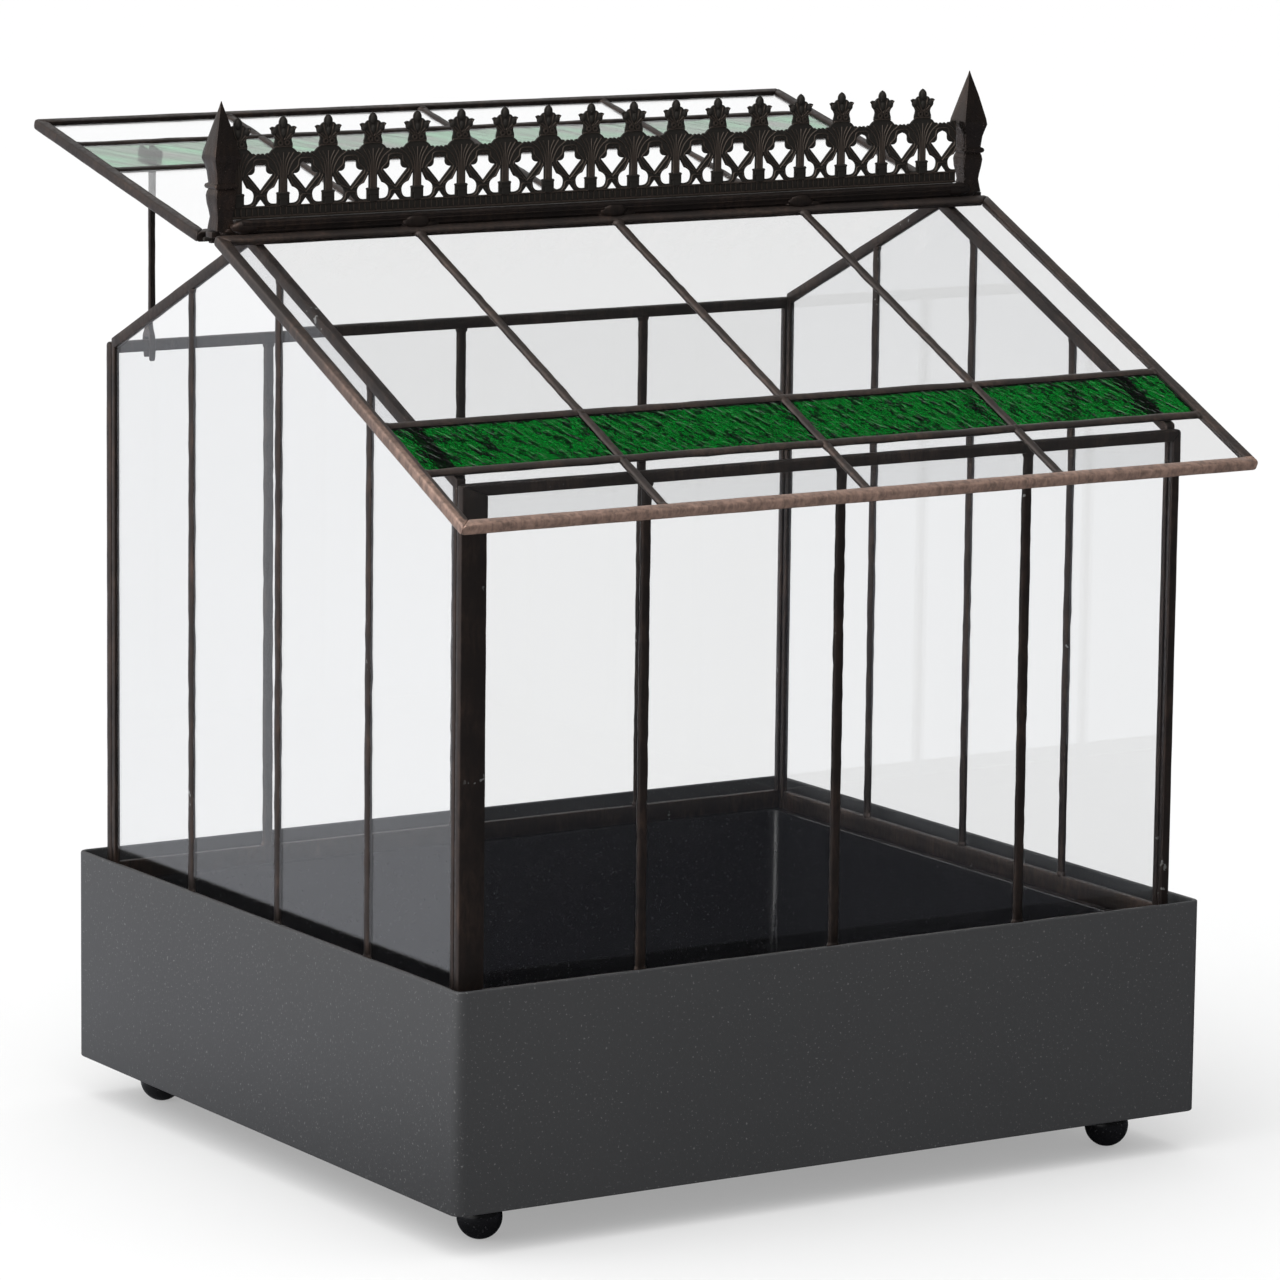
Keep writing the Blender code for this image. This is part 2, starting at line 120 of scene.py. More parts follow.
class PlantHouseColours(bpy.types.PropertyGroup):
    patina: colour_setting(
        "Patina", "Dark bronze patina of the came and solder", (0.044, 0.036, 0.033))
    copper: colour_setting(
        "Copper", "Copper brown where the patina is rubbed thin", (0.135, 0.088, 0.068))
    relief: colour_setting(
        "Rubbed relief", "Warm brown of raised lines, rubbed brighter than what lies round them",
        (0.130, 0.105, 0.088))
    # Painted highlight: a light copper brown laid on the front roof's eave and left edge in place of the
    # light those edges catch.
    painted_eave_highlight: colour_setting(
        "Eave highlight", "Light copper brown painted on the front roof's eave and left edge as a highlight",
        (0.430, 0.285, 0.225))
    tin: colour_setting(
        "Bare solder", "Bright solder that the patina missed", (0.62, 0.62, 0.60))
    paint: colour_setting(
        "Planter paint", "Satin dark grey paint of the planter", (0.032, 0.0325, 0.034))
    black: colour_setting(
        "Gloss black", "Gloss black of the liner and feet", (0.006, 0.006, 0.007))
    clear: colour_setting(
        "Clear glass", "Faint tint of the clear panes", (0.980, 0.983, 0.985))
    green: colour_setting(
        "Green glass", "Green of the front roof's band", (0.0, 0.165, 0.017))
    mid_green: colour_setting(
        "Green grain", "Deeper green of the fine grain in the front roof's band", (0.0, 0.105, 0.010))
    dark_green: colour_setting(
        "Green dashes", "Dark dashes in the front roof's band", (0.0, 0.008, 0.002))
    pale_green: colour_setting(
        "Pale green glass", "Green of the lid's band", (0.260, 0.500, 0.330))
    mauve: colour_setting(
        "Pale streaks", "Grey and mauve streaks in the lid's band", (0.310, 0.300, 0.290))


def sizes():
    return bpy.context.scene.plant_house_sizes


def colours():
    return bpy.context.scene.plant_house_colours


# ---- modelling by operator ----
def rest(*chosen):
    """Back to object mode with nothing selected but the pieces given; the last one is active."""
    if bpy.context.mode != "OBJECT":
        bpy.ops.object.mode_set(mode="OBJECT")
    bpy.ops.object.select_all(action="DESELECT")
    for piece in chosen:
        piece.select_set(True)
        bpy.context.view_layer.objects.active = piece


def settle(piece):
    """Put a piece's place, turn and size into its mesh."""
    rest(piece)
    bpy.ops.object.transform_apply(location=True, rotation=True, scale=True)
    return piece


def named(piece, name):
    piece.name = piece.data.name = name
    return piece


def many(name, add, places):
    """One mesh of like primitives; add is given each place in turn."""
    rest()
    for place in places:
        add(place)
        if bpy.context.mode == "OBJECT":
            piece = settle(bpy.context.object)
            bpy.ops.object.mode_set(mode="EDIT")
    rest()
    return named(piece, name)


def add_block(corners):
    low, high = map(Vector, corners)
    bpy.ops.mesh.primitive_cube_add(size=1, location=(low + high) / 2, scale=high - low)


def add_ball(place):
    centre, scale = place
    bpy.ops.mesh.primitive_uv_sphere_add(segments=16, ring_count=8, radius=1, location=centre, scale=scale)


def blocks(name, spans):
    return many(name, add_block, spans)


def balls(name, places):
    return many(name, add_ball, places)


def pick(piece, kind, rule):
    """Select in edit mode the vertices, edges or faces that a rule picks by place or direction."""
    rest(piece)
    bpy.ops.object.mode_set(mode="EDIT")
    bpy.ops.mesh.select_mode(type=kind)
    bpy.ops.mesh.select_all(action="DESELECT")
    shape = bmesh.from_edit_mesh(piece.data)
    for part in {"VERT": shape.verts, "EDGE": shape.edges, "FACE": shape.faces}[kind]:
        if rule(part):
            part.select_set(True)
    shape.select_flush_mode()
    bmesh.update_edit_mesh(piece.data)


def everything(part):
    return True


def along(direction, least=0.0):
    """A rule for edges that run in a direction and are longer than least."""
    direction = Vector(direction).normalized()

    def rule(edge):
        run = edge.verts[1].co - edge.verts[0].co
        return run.length > least and abs(run.dot(direction)) > 0.9995 * run.length
    return rule


def facing(direction, beyond=None):
    """A rule for faces that look in a direction, and lie at least that far along it."""
    direction = Vector(direction).normalized()

    def rule(face):
        far = beyond is None or face.calc_center_median().dot(direction) > beyond
        return far and face.normal.dot(direction) > 0.99
    return rule


def near(axis, value, axis_2=None, value_2=None):
    """A rule for vertices at one or two coordinates."""
    def rule(vertex):
        second = axis_2 is None or abs(vertex.co[axis_2] - value_2) < SAME_PLACE
        return abs(vertex.co[axis] - value) < SAME_PLACE and second
    return rule


def move(piece, rule, by):
    pick(piece, "VERT", rule)
    bpy.ops.transform.translate(value=by)
    rest()


def bevel(piece, rule, width, segments):
    pick(piece, "EDGE", rule)
    bpy.ops.mesh.bevel(offset=width, segments=segments, profile=0.5, affect="EDGES", clamp_overlap=True)
    rest()


def divide(piece, rule, cuts):
    pick(piece, "EDGE", rule)
    bpy.ops.mesh.subdivide(number_cuts=cuts)
    rest()


def cut(piece, point, normal):
    """Take away what lies beyond a plane, and close the cut."""
    pick(piece, "FACE", everything)
    bpy.ops.mesh.bisect(plane_co=point, plane_no=normal, use_fill=True, clear_outer=True)
    rest()


def apply_modifiers(piece):
    rest(piece)
    for modifier in list(piece.modifiers):
        bpy.ops.object.modifier_apply(modifier=modifier.name)


def rounded(piece, width, segments=2, angle=30.0):
    soft = piece.modifiers.new("soft_edges", "BEVEL")
    soft.width = width
    soft.segments = segments
    soft.limit_method = "ANGLE"
    soft.angle_limit = math.radians(angle)
    apply_modifiers(piece)


def walled(piece, thickness):
    wall = piece.modifiers.new("wall", "SOLIDIFY")
    wall.thickness = thickness
    wall.offset = -1
    wall.use_even_offset = True
    apply_modifiers(piece)


def lumpy(piece, height, size):
    """The slight unevenness of solder run by hand."""
    cloud = bpy.data.textures.new(piece.name + "_lumps", "CLOUDS")
    cloud.noise_scale = size
    cloud.noise_depth = 2
    lumps = piece.modifiers.new("lumps", "DISPLACE")
    lumps.texture = cloud
    lumps.texture_coords = "LOCAL"
    lumps.strength = height
    lumps.mid_level = 0.5
    apply_modifiers(piece)


def joined(name, *pieces):
    rest(*reversed(pieces))
    if len(pieces) > 1:
        bpy.ops.object.join()
    return named(bpy.context.object, name)


def copied(piece, offset):
    rest(piece)
    bpy.ops.object.duplicate(linked=False)
    twin = bpy.context.object
    twin.location = offset
    return settle(twin)


def finished(piece, name, plane, body, material, nodes, angle=40.0):
    """Shade a piece, put it in its plane, and hand it to its body in its material."""
    piece.matrix_world = plane
    settle(piece)
    pick(piece, "FACE", everything)
    bpy.ops.mesh.normals_make_consistent(inside=False)
    rest(piece)
    bpy.ops.object.shade_smooth_by_angle(angle=math.radians(angle))
    named(piece, name)
    piece.data.materials.clear()
    piece.data.materials.append(material)
    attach(piece, body)
    if nodes:
        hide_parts(*nodes)
    rest()
    return piece


def outline_plate(name, loops, thickness, edge):
    """A flat plate cut to smooth outlines; each point is (across, up, is it a corner)."""
    curve = bpy.data.curves.new(name, "CURVE")
    curve.dimensions = "2D"
    curve.fill_mode = "BOTH"
    curve.resolution_u = 3
    curve.extrude = thickness / 2 - edge
    curve.bevel_depth = edge
    curve.bevel_resolution = 0
    curve.offset = -edge
    for loop in loops:
        spline = curve.splines.new("BEZIER")
        spline.bezier_points.add(len(loop) - 1)
        spline.use_cyclic_u = True
        for point, (a, b, corner) in zip(spline.bezier_points, loop):
            point.co = (a * MM, b * MM, 0)
            point.handle_left_type = point.handle_right_type = "VECTOR" if corner else "AUTO"
    return from_curve(name, curve)


def ribs(name, lines, resolution=3):
    """Raised round ribs along smooth lines; each is (radius, points)."""
    curve = bpy.data.curves.new(name, "CURVE")
    curve.dimensions = "3D"
    curve.resolution_u = resolution
    curve.bevel_depth = 1.0
    curve.bevel_resolution = 1
    curve.use_fill_caps = True
    for radius, points in lines:
        spline = curve.splines.new("BEZIER")
        spline.bezier_points.add(len(points) - 1)
        for point, place in zip(spline.bezier_points, points):
            point.co = [c * MM for c in place]
            point.radius = radius * MM
            point.handle_left_type = point.handle_right_type = "AUTO"
    return from_curve(name, curve)


def from_curve(name, curve):
    rest()
    piece = bpy.data.objects.new(name, curve)
    bpy.context.scene.collection.objects.link(piece)
    rest(piece)
    bpy.ops.object.convert(target="MESH")
    piece = bpy.context.object
    pick(piece, "VERT", everything)
    bpy.ops.mesh.remove_doubles(threshold=SAME_PLACE)
    rest()
    return piece


# ---- places read from the frame ----
def joint(name):
    return next(j for j in frame["joints"] if j["name"] == name)


def plane_at(point, turn):
    return Matrix.Translation(point) @ turn


FLAT = Matrix.Identity(4)
UPRIGHT = Matrix.Rotation(math.pi / 2, 4, "X")
SIDEWAYS = Matrix.Rotation(math.pi / 2, 4, "Z") @ UPRIGHT
HINGE = Vector(joint("lid_hinge")["pos_m"])
PROP_PIVOT = Vector(joint("prop_swing")["pos_m"])
ROOF_PLANE = plane_at(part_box("front_roof_frame")[0], Matrix.Rotation(ROOF_PITCH, 4, "X"))
LID_PLANE = plane_at(HINGE, Matrix.Rotation(OPEN_ANGLE - ROOF_PITCH, 4, "X"))


def middle(node):
    low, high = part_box(node)
    return (low + high) / 2


def in_plane(node, plane):
    """A CAD node's lowest and highest corners, measured in a plane's own directions."""
    back = plane.inverted()
    points = [back @ v.co for v in frame["nodes"][node].data.vertices]
    return [Vector([pick_one(p[i] for p in points) for i in range(3)]) for pick_one in (min, max)]


def windows_of(panes, plane):
    """The clear spans between bars, across and up, from the panes that fill them."""
    spans = ([], [])
    for pane in panes:
        low, high = in_plane(pane, plane)
        for axis in (0, 1):
            span = (low[axis] + PANE_LAP, high[axis] - PANE_LAP)
            if all(abs(span[0] - other[0]) > MM for other in spans[axis]):
                spans[axis].append(span)
    return [sorted(s) for s in spans]


def panes_of(prefix):
    return sorted(n for n in frame["nodes"] if n.startswith(prefix) and "_pane_" in n)


# ---- finishes ----
def node(tree, kind, inputs=(), **settings):
    made = tree.nodes.new(kind)
    for key, value in settings.items():
        setattr(made, key, value)
    for key, value in dict(inputs).items():
        if isinstance(value, bpy.types.NodeSocket):
            tree.links.new(value, made.inputs[key])
        else:
            made.inputs[key].default_value = value
    return made


def opaque(colour):
    return (*colour, 1.0)


def ramp(tree, value, low, high, out_low=0.0, out_high=1.0):
    scaled = node(tree, "ShaderNodeMapRange", {"Value": value, "From Min": low, "From Max": high,
                                               "To Min": out_low, "To Max": out_high})
    return scaled.outputs["Result"]


def blend(tree, share, a, b):
    mixed = node(tree, "ShaderNodeMix", data_type="RGBA")
    for key, value in ((0, share), (6, a), (7, b)):
        if isinstance(value, bpy.types.NodeSocket):
            tree.links.new(value, mixed.inputs[key])
        else:
            mixed.inputs[key].default_value = value
    return mixed.outputs[2]


def maths(tree, operation, a, b):
    made = node(tree, "ShaderNodeMath", {0: a, 1: b}, operation=operation)
    return made.outputs[0]


def noise(tree, where, scale, detail=3.0, roughness=0.55, distortion=0.0):
    made = node(tree, "ShaderNodeTexNoise", {"Vector": where, "Scale": scale, "Detail": detail,
                                             "Roughness": roughness, "Distortion": distortion})
    return made.outputs[0]


def stretched(tree, where, scale, turn=(0, 0, 0)):
    made = node(tree, "ShaderNodeMapping", {"Vector": where, "Scale": scale, "Rotation": turn})
    return made.outputs[0]


def group(name, inputs, outputs, fill):
    """A node group of that name, made once; inputs are (name, kind, default)."""
    tree = bpy.data.node_groups.get(name)
    if tree:
        return tree
    tree = bpy.data.node_groups.new(name, "ShaderNodeTree")
    for key, kind, default in inputs:
        socket = tree.interface.new_socket(key, in_out="INPUT", socket_type=kind)
        if default is not None:
            socket.default_value = default
    for key, kind in outputs:
        tree.interface.new_socket(key, in_out="OUTPUT", socket_type=kind)
    enter, leave = tree.nodes.new("NodeGroupInput"), tree.nodes.new("NodeGroupOutput")
    for key, socket in fill(tree, enter.outputs).items():
        tree.links.new(socket, leave.inputs[key])
    return tree


def fill_patina_wear(tree, given):
    where = given["Where"]
    cloud = noise(tree, where, 38.0, 4.0, 0.6)
    fine = noise(tree, where, 520.0, 3.0, 0.6)
    drag = noise(tree, stretched(tree, where, (420.0, 420.0, 110.0)), 1.0, 3.0, 0.6, 0.4)
    rubbed = maths(tree, "MULTIPLY", ramp(tree, cloud, 0.38, 0.72), ramp(tree, drag, 0.34, 0.72))
    spots = maths(tree, "MULTIPLY", ramp(tree, noise(tree, where, 260.0, 2.0), 0.66, 0.69),
                  ramp(tree, noise(tree, where, 17.0, 1.0), 0.62, 0.66))
    height = maths(tree, "ADD", maths(tree, "MULTIPLY", drag, 0.6), maths(tree, "MULTIPLY", fine, 0.4))
    return {"Copper": maths(tree, "MULTIPLY", rubbed, given["Rubbed"]),
            "Bare": maths(tree, "MULTIPLY", spots, given["Missed"]),
            "Roughness": ramp(tree, fine, 0.3, 0.7, 0.30, 0.52),
            "Height": height}


def fill_fine_grain(tree, given):
    where = given["Where"]
    peel = noise(tree, where, given["Scale"], 2.0, 0.5)
    slow = noise(tree, where, 9.0, 2.0, 0.5)
    dust = maths(tree, "MULTIPLY", ramp(tree, noise(tree, where, 900.0, 1.0), 0.66, 0.74), given["Dust"])
    return {"Peel": peel, "Slow": slow, "Dust": dust}


def fill_glass_streaks(tree, given):
    drawn = node(tree, "ShaderNodeMapping", {"Vector": given["Where"], "Scale": given["Stretch"]}).outputs[0]
    grain = noise(tree, drawn, 2.2, 3.0, 0.6, 0.1)
    dashes = noise(tree, drawn, 1.0, 2.0, 0.5, 0.2)
    broad = noise(tree, drawn, 0.22, 3.0, 0.5, 0.5)
    return {"Grain": grain, "Dashes": dashes, "Broad": broad}


def patina_group():
    return group("patina_wear", [("Where", "NodeSocketVector", None), ("Rubbed", "NodeSocketFloat", 1.0),
                                 ("Missed", "NodeSocketFloat", 1.0)],
                 [("Copper", "NodeSocketFloat"), ("Bare", "NodeSocketFloat"),
                  ("Roughness", "NodeSocketFloat"),
                  ("Height", "NodeSocketFloat")], fill_patina_wear)


def grain_group():
    return group("fine_grain", [("Where", "NodeSocketVector", None), ("Scale", "NodeSocketFloat", 500.0),
                                ("Dust", "NodeSocketFloat", 0.0)],
                 [("Peel", "NodeSocketFloat"), ("Slow", "NodeSocketFloat"), ("Dust", "NodeSocketFloat")],
                 fill_fine_grain)


def streak_group():
    return group("glass_streaks", [("Where", "NodeSocketVector", None),
                                   ("Stretch", "NodeSocketVector", None)],
                 [("Grain", "NodeSocketFloat"), ("Dashes", "NodeSocketFloat"), ("Broad", "NodeSocketFloat")],
                 fill_glass_streaks)


def grouped(tree, group_tree, inputs):
    made = tree.nodes.new("ShaderNodeGroup")
    made.node_tree = group_tree
    for key, value in inputs.items():
        if isinstance(value, bpy.types.NodeSocket):
            tree.links.new(value, made.inputs[key])
        else:
            made.inputs[key].default_value = value
    return made.outputs


def new_material(name):
    """An empty material of that name with its tree, shader and object coordinates."""
    material = bpy.data.materials.new(name)
    material.use_nodes = True
    tree = material.node_tree
    shader = tree.nodes["Principled BSDF"]
    where = tree.nodes.new("ShaderNodeTexCoord").outputs["Object"]
    return material, tree, shader, where


def set_shader(tree, shader, **inputs):
    for key, value in inputs.items():
        socket = shader.inputs[key.replace("_", " ")]
        if isinstance(value, bpy.types.NodeSocket):
            tree.links.new(value, socket)
        else:
            socket.default_value = value


def bump(tree, height, strength, distance):
    made = node(tree, "ShaderNodeBump", {"Height": height, "Strength": strength, "Distance": distance})
    return made.outputs[0]


def patina(name, base, rubbed, missed, relief, gloss=1.0, metal=0.85, highlight_to=None):
    """Dark bronze patina: rubbed copper, missed spots of bare solder, and, when a roof edge is given, a
    painted highlight of light copper along it.
    """
    found = bpy.data.materials.get(name)
    if found:
        return found
    material, tree, shader, where = new_material(name)
    wear = grouped(tree, patina_group(), {"Where": where, "Rubbed": rubbed, "Missed": missed})
    colour = blend(tree, wear["Copper"], opaque(base), opaque(colours().copper))
    colour = blend(tree, wear["Bare"], colour, opaque(colours().tin))
    # Painted highlight: light copper brown along the eave and the lower part of the left edge, streaked by
    # the wear height, standing in for the light those edges catch.
    if highlight_to is not None:
        place = node(tree, "ShaderNodeSeparateXYZ", {0: where}).outputs
        eave = ramp(tree, place["Y"], highlight_to.y, highlight_to.y - 0.0006)
        rake = maths(tree, "MULTIPLY", ramp(tree, place["X"], highlight_to.x, highlight_to.x - 0.0006),
                     ramp(tree, place["Y"], highlight_to.y + 0.13, highlight_to.y + 0.03, 0.0, 0.8))
        painted_highlight = maths(tree, "MULTIPLY", maths(tree, "MAXIMUM", eave, rake),
                     ramp(tree, wear["Height"], 0.35, 0.65, 0.35, 1.0))
        colour = blend(tree, painted_highlight, colour, opaque(colours().painted_eave_highlight))
    set_shader(tree, shader, Base_Color=colour, Metallic=metal,
               Roughness=maths(tree, "MULTIPLY", wear["Roughness"], gloss),
               Normal=bump(tree, wear["Height"], 0.5, relief))
    return material


def came_patina():
    return patina("came_patina", colours().patina, 0.75, 0.5, 0.0003)


def roof_patina_and_highlight():
    # The front roof's patina, with the painted eave highlight reaching a few millimetres in from its lowest
    # corner.
    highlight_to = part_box("front_roof_frame")[0] + Vector((3.2 * MM, 4.6 * MM, 0))
    return patina("roof_patina_and_highlight", colours().patina, 0.9, 0.0, 0.0003, 1.0, 0.6, highlight_to)


def finial_patina():
    return patina("finial_patina", [c * 1.1 for c in colours().patina], 0.8, 0.0, 0.0004, 0.6)


def cast_patina():
    return patina("cast_patina", colours().patina, 0.55, 0.0, 0.0002)


def relief_patina():
    return patina("relief_patina", colours().relief, 0.5, 0.0, 0.0001)


def satin_paint():
    material, tree, shader, where = new_material("planter_satin_paint")
    grain = grouped(tree, grain_group(), {"Where": where, "Scale": 700.0, "Dust": 0.35})
    base = colours().paint
    colour = blend(tree, grain["Slow"], opaque([c * 0.93 for c in base]), opaque([c * 1.07 for c in base]))
    colour = blend(tree, grain["Dust"], colour, opaque((0.22, 0.22, 0.22)))
    set_shader(tree, shader, Base_Color=colour, Roughness=ramp(tree, grain["Slow"], 0.2, 0.8, 0.40, 0.50),
               Normal=bump(tree, grain["Peel"], 0.25, 0.0001))
    return material


def gloss_black(name, roughness, sway):
    material, tree, shader, where = new_material(name)
    grain = grouped(tree, grain_group(), {"Where": where, "Scale": 260.0, "Dust": 0.25})
    wave = noise(tree, stretched(tree, where, (26.0, 26.0, 7.0)), 1.0, 2.0, 0.45)
    colour = blend(tree, grain["Dust"], opaque(colours().black), opaque((0.10, 0.10, 0.105)))
    set_shader(tree, shader, Base_Color=colour, Normal=bump(tree, wave, 0.6, sway),
               Roughness=ramp(tree, grain["Peel"], 0.2, 0.8, roughness, roughness + 0.06))
    return material


def glass_base(name, tint):
    """Glass that lets lamp light straight through, and its tree, shader and coordinates."""
    material, tree, shader, where = new_material(name)
    set_shader(tree, shader, Metallic=0.0, Transmission_Weight=1.0, IOR=1.5)
    lamp = tree.nodes.new("ShaderNodeLightPath").outputs["Is Shadow Ray"]
    passing = node(tree, "ShaderNodeBsdfTransparent", {"Color": opaque(tint)})
    either = node(tree, "ShaderNodeMixShader", {0: lamp, 1: shader.outputs[0], 2: passing.outputs[0]})
    tree.links.new(either.outputs[0], tree.nodes["Material Output"].inputs["Surface"])
    return material, tree, shader, where


def clear_glass():
    material, tree, shader, where = glass_base("clear_sheet_glass", [c ** 2 for c in colours().clear])
    film = grouped(tree, grain_group(), {"Where": where, "Scale": 30.0, "Dust": 0.03})
    colour = blend(tree, film["Slow"], opaque([c * 0.985 for c in colours().clear]), opaque(colours().clear))
    set_shader(tree, shader, Base_Color=blend(tree, film["Dust"], colour, opaque((0.75, 0.76, 0.77))),
               Roughness=0.0)
    return material


def rolled_glass(name, tones, turn, stretch, dashes, clouds, roughness, relief):
    """Rolled glass in three tones: light, a fine grain of the second, and dashes and clouds of the third."""
    light, grain, dark = tones
    material, tree, shader, where = glass_base(name, light)
    turned = stretched(tree, where, (1.0, 1.0, 1.0), (0, 0, math.radians(turn)))
    streak = grouped(tree, streak_group(), {"Where": turned, "Stretch": stretch})
    colour = blend(tree, ramp(tree, streak["Grain"], 0.36, 0.64), opaque(light), opaque(grain))
    marks = maths(tree, "MAXIMUM", ramp(tree, streak["Dashes"], *dashes),
                  ramp(tree, streak["Broad"], *clouds))
    colour = blend(tree, marks, colour, opaque(dark))
    set_shader(tree, shader, Base_Color=colour, Roughness=roughness,
               Normal=bump(tree, streak["Dashes"], 0.6, relief))
    return material


# ---- frames of came ----
def came_border(name, low, high, widths):
    """Four mitred lengths of came round a frame; widths are its left, right, bottom and top."""
    left, right, bottom, top = widths
    x0, x1, y0, y1 = low[0], high[0], low[1], high[1]
    z0, z1 = low[2], high[2]
    rails = blocks(name + "_rails", [((x0, y0, z0), (x1, y0 + bottom, z1)),
                                     ((x0, y1 - top, z0), (x1, y1, z1))])
    stiles = blocks(name + "_stiles", [((x0, y0, z0), (x0 + left, y1, z1)),
                                       ((x1 - right, y0, z0), (x1, y1, z1))])
    for y in (y0 + bottom, y1 - top):
        move(rails, near(0, x0, 1, y), (left, 0, 0))
        move(rails, near(0, x1, 1, y), (-right, 0, 0))
    for x in (x0 + left, x1 - right):
        move(stiles, near(1, y0, 0, x), (0, bottom, 0))
        move(stiles, near(1, y1, 0, x), (0, -top, 0))
    border = joined(name + "_border", rails, stiles)
    for direction, edge in (((1, 0, 0), x1), ((-1, 0, 0), -x0), ((0, 1, 0), y1), ((0, -1, 0), -y0)):
        pick(border, "FACE", facing(direction, edge - 0.1 * MM))
        bpy.ops.mesh.inset(thickness=sizes().came_lip, depth=0.3 * MM)
    rest()
    bevel(border, everything, sizes().came_edge, 2)
    for direction in ((1, 0, 0), (0, 1, 0)):
        divide(border, along(direction, 0.03), 40)
    lumpy(border, sizes().solder_lump * CAME_LUMP_SHARE, CAME_LUMP_SPAN)
    return border


def solder_beads(name, spans, axes):
    """Rounded solder lines, finely cut to take lumps later; axes gives each one's direction."""
    beads = []
    for axis in (0, 1):
        chosen = [s for s, a in zip(spans, axes) if a == axis]
        if not chosen:
            continue
        beads.append(blocks(f"{name}_{axis}", chosen))
        run = [0, 0, 0]
        run[axis] = 1
        depth = chosen[0][1][2] - chosen[0][0][2]
        bevel(beads[-1], along(run, 0.01), depth * sizes().solder_round, 3)
        divide(beads[-1], along(run, 0.01), 48)
    return joined(name + "_beads", *beads)


def solder_blobs(name, points, width, depth):
    across = width * sizes().joint_blob
    size = (across, across, depth / 2 + 0.35 * MM)
    return balls(name + "_blobs", [(point, size) for point in points])


def gridded_frame(name, node_name, panes, plane):
    """Border, mullions and crossing blobs of a rectangular frame, in its own plane."""
    low, high = in_plane(node_name, plane)
    if name == "lid_frame":
        low.z = -high.z
    under, over = solder_levels(panes, plane)
    columns, rows = windows_of(panes, plane)
    widths = (columns[0][0] - low.x, high.x - columns[-1][1], rows[0][0] - low.y, high.y - rows[-1][1])
    border = came_border(name, low, high, widths)
    spans, axes, crossings = [], [], []
    uprights = [(a[1], b[0]) for a, b in zip(columns, columns[1:])]
    bars = [(a[1], b[0]) for a, b in zip(rows, rows[1:])]
    tuck = 2 * MM
    for x0, x1 in uprights:
        spans.append(((x0, low.y + widths[2] - tuck, under), (x1, high.y - widths[3] + tuck, over)))
        axes.append(1)
        crossings += [((x0 + x1) / 2, (b0 + b1) / 2) for b0, b1 in bars]
        crossings += [((x0 + x1) / 2, low.y + widths[2]), ((x0 + x1) / 2, high.y - widths[3])]
    for y0, y1 in bars:
        spans.append(((low.x + widths[0] - tuck, y0, under), (high.x - widths[1] + tuck, y1, over)))
        axes.append(0)
        crossings += [(low.x + widths[0], (y0 + y1) / 2), (high.x - widths[1], (y0 + y1) / 2)]
    beads = solder_beads(name, spans, axes)
    width = uprights[0][1] - uprights[0][0]
    blobs = solder_blobs(name, [(x, y, (under + over) / 2) for x, y in crossings], width, over - under)
    solder = joined(name + "_solder", beads, blobs)
    lumpy(solder, sizes().solder_lump, SOLDER_LUMP_SPAN)
    return joined(name + "_shape", border, solder)


def solder_levels(panes, plane):
    """How low and how high the solder reaches, just beyond both faces of the glass."""
    low, high = in_plane(panes[0], plane)
    return low.z - sizes().solder_rise, high.z + sizes().solder_rise


def gable_frame(name, node_name, panes, plane):
    """A gable's posts, mullions and bottom rail under two sloping rails that meet at the apex."""
    low, high = in_plane(node_name, plane)
    back = plane.inverted()
    apex = max((back @ v.co for v in frame["nodes"][node_name].data.vertices), key=lambda p: p.y)
    columns = windows_of(panes, plane)[0]
    sill = min(in_plane(p, plane)[0].y for p in panes) + PANE_LAP
    under, over = solder_levels(panes, plane)
    post, rail = columns[0][0] - low.x, columns[1][0] - columns[0][1]
    lean = {side: Vector((side * math.sin(ROOF_PITCH), math.cos(ROOF_PITCH), 0)) for side in (-1, 1)}
    posts = blocks(name + "_posts", [((low.x, low.y, low.z), (low.x + post, apex.y, high.z)),
                                     ((high.x - post, low.y, low.z), (high.x, apex.y, high.z)),
                                     ((low.x + post, low.y, low.z), (high.x - post, sill, high.z))])
    beads = solder_beads(name, [((a[1], sill - MM, under), (b[0], apex.y, over))
                                for a, b in zip(columns, columns[1:])], [1] * (len(columns) - 1))
    rails = []
    for side in (-1, 1):
        ends = sorted((apex.x, low.x if side < 0 else high.x))
        sloping = blocks(name + "_rail", [((ends[0], low.y + 50 * MM, low.z),
                                           (ends[1], apex.y + MM, high.z))])
        cut(sloping, apex, lean[side])
        cut(sloping, apex - lean[side] * rail, -lean[side])
        rails.append(sloping)
        for piece in (posts, beads):
            cut(piece, apex - lean[side] * 2 * MM, lean[side])
    rails = joined(name + "_rails", *rails)
    border = joined(name + "_border", posts, rails)
    bevel(border, everything, sizes().came_edge, 2)
    for run in ((0, 1, 0), (1, 0, 0), (1, math.tan(ROOF_PITCH), 0), (1, -math.tan(ROOF_PITCH), 0)):
        divide(border, along(run, 0.03), 30)
    lumpy(border, sizes().solder_lump * CAME_LUMP_SHARE, CAME_LUMP_SPAN)
    points = []
    for a, b in zip(columns, columns[1:]):
        x, z = (a[1] + b[0]) / 2, (under + over) / 2
        points += [(x, apex.y - abs(x - apex.x) * math.tan(ROOF_PITCH) - rail, z), (x, sill, z)]
    blobs = solder_blobs(name, points, rail, over - under)
    solder = joined(name + "_solder", beads, blobs)
    lumpy(solder, sizes().solder_lump, SOLDER_LUMP_SPAN)
    return joined(name + "_shape", border, solder)


# ---- the pieces, one operator each ----
class PieceOperator:
    bl_options = {"REGISTER", "UNDO"}

    def execute(self, context):
        self.build()
        rest()
        return {"FINISHED"}


def open_tray(name, low, high, corner, wall):
    """A sheet box with rounded upright corners, open at the top."""
    tray = blocks(name, [(low, high)])
    bevel(tray, along((0, 0, 1)), corner, 6)
    pick(tray, "FACE", facing((0, 0, 1), high[2] - 0.1 * MM))
    bpy.ops.mesh.delete(type="ONLY_FACE")
    rest()
    walled(tray, wall)
    return tray


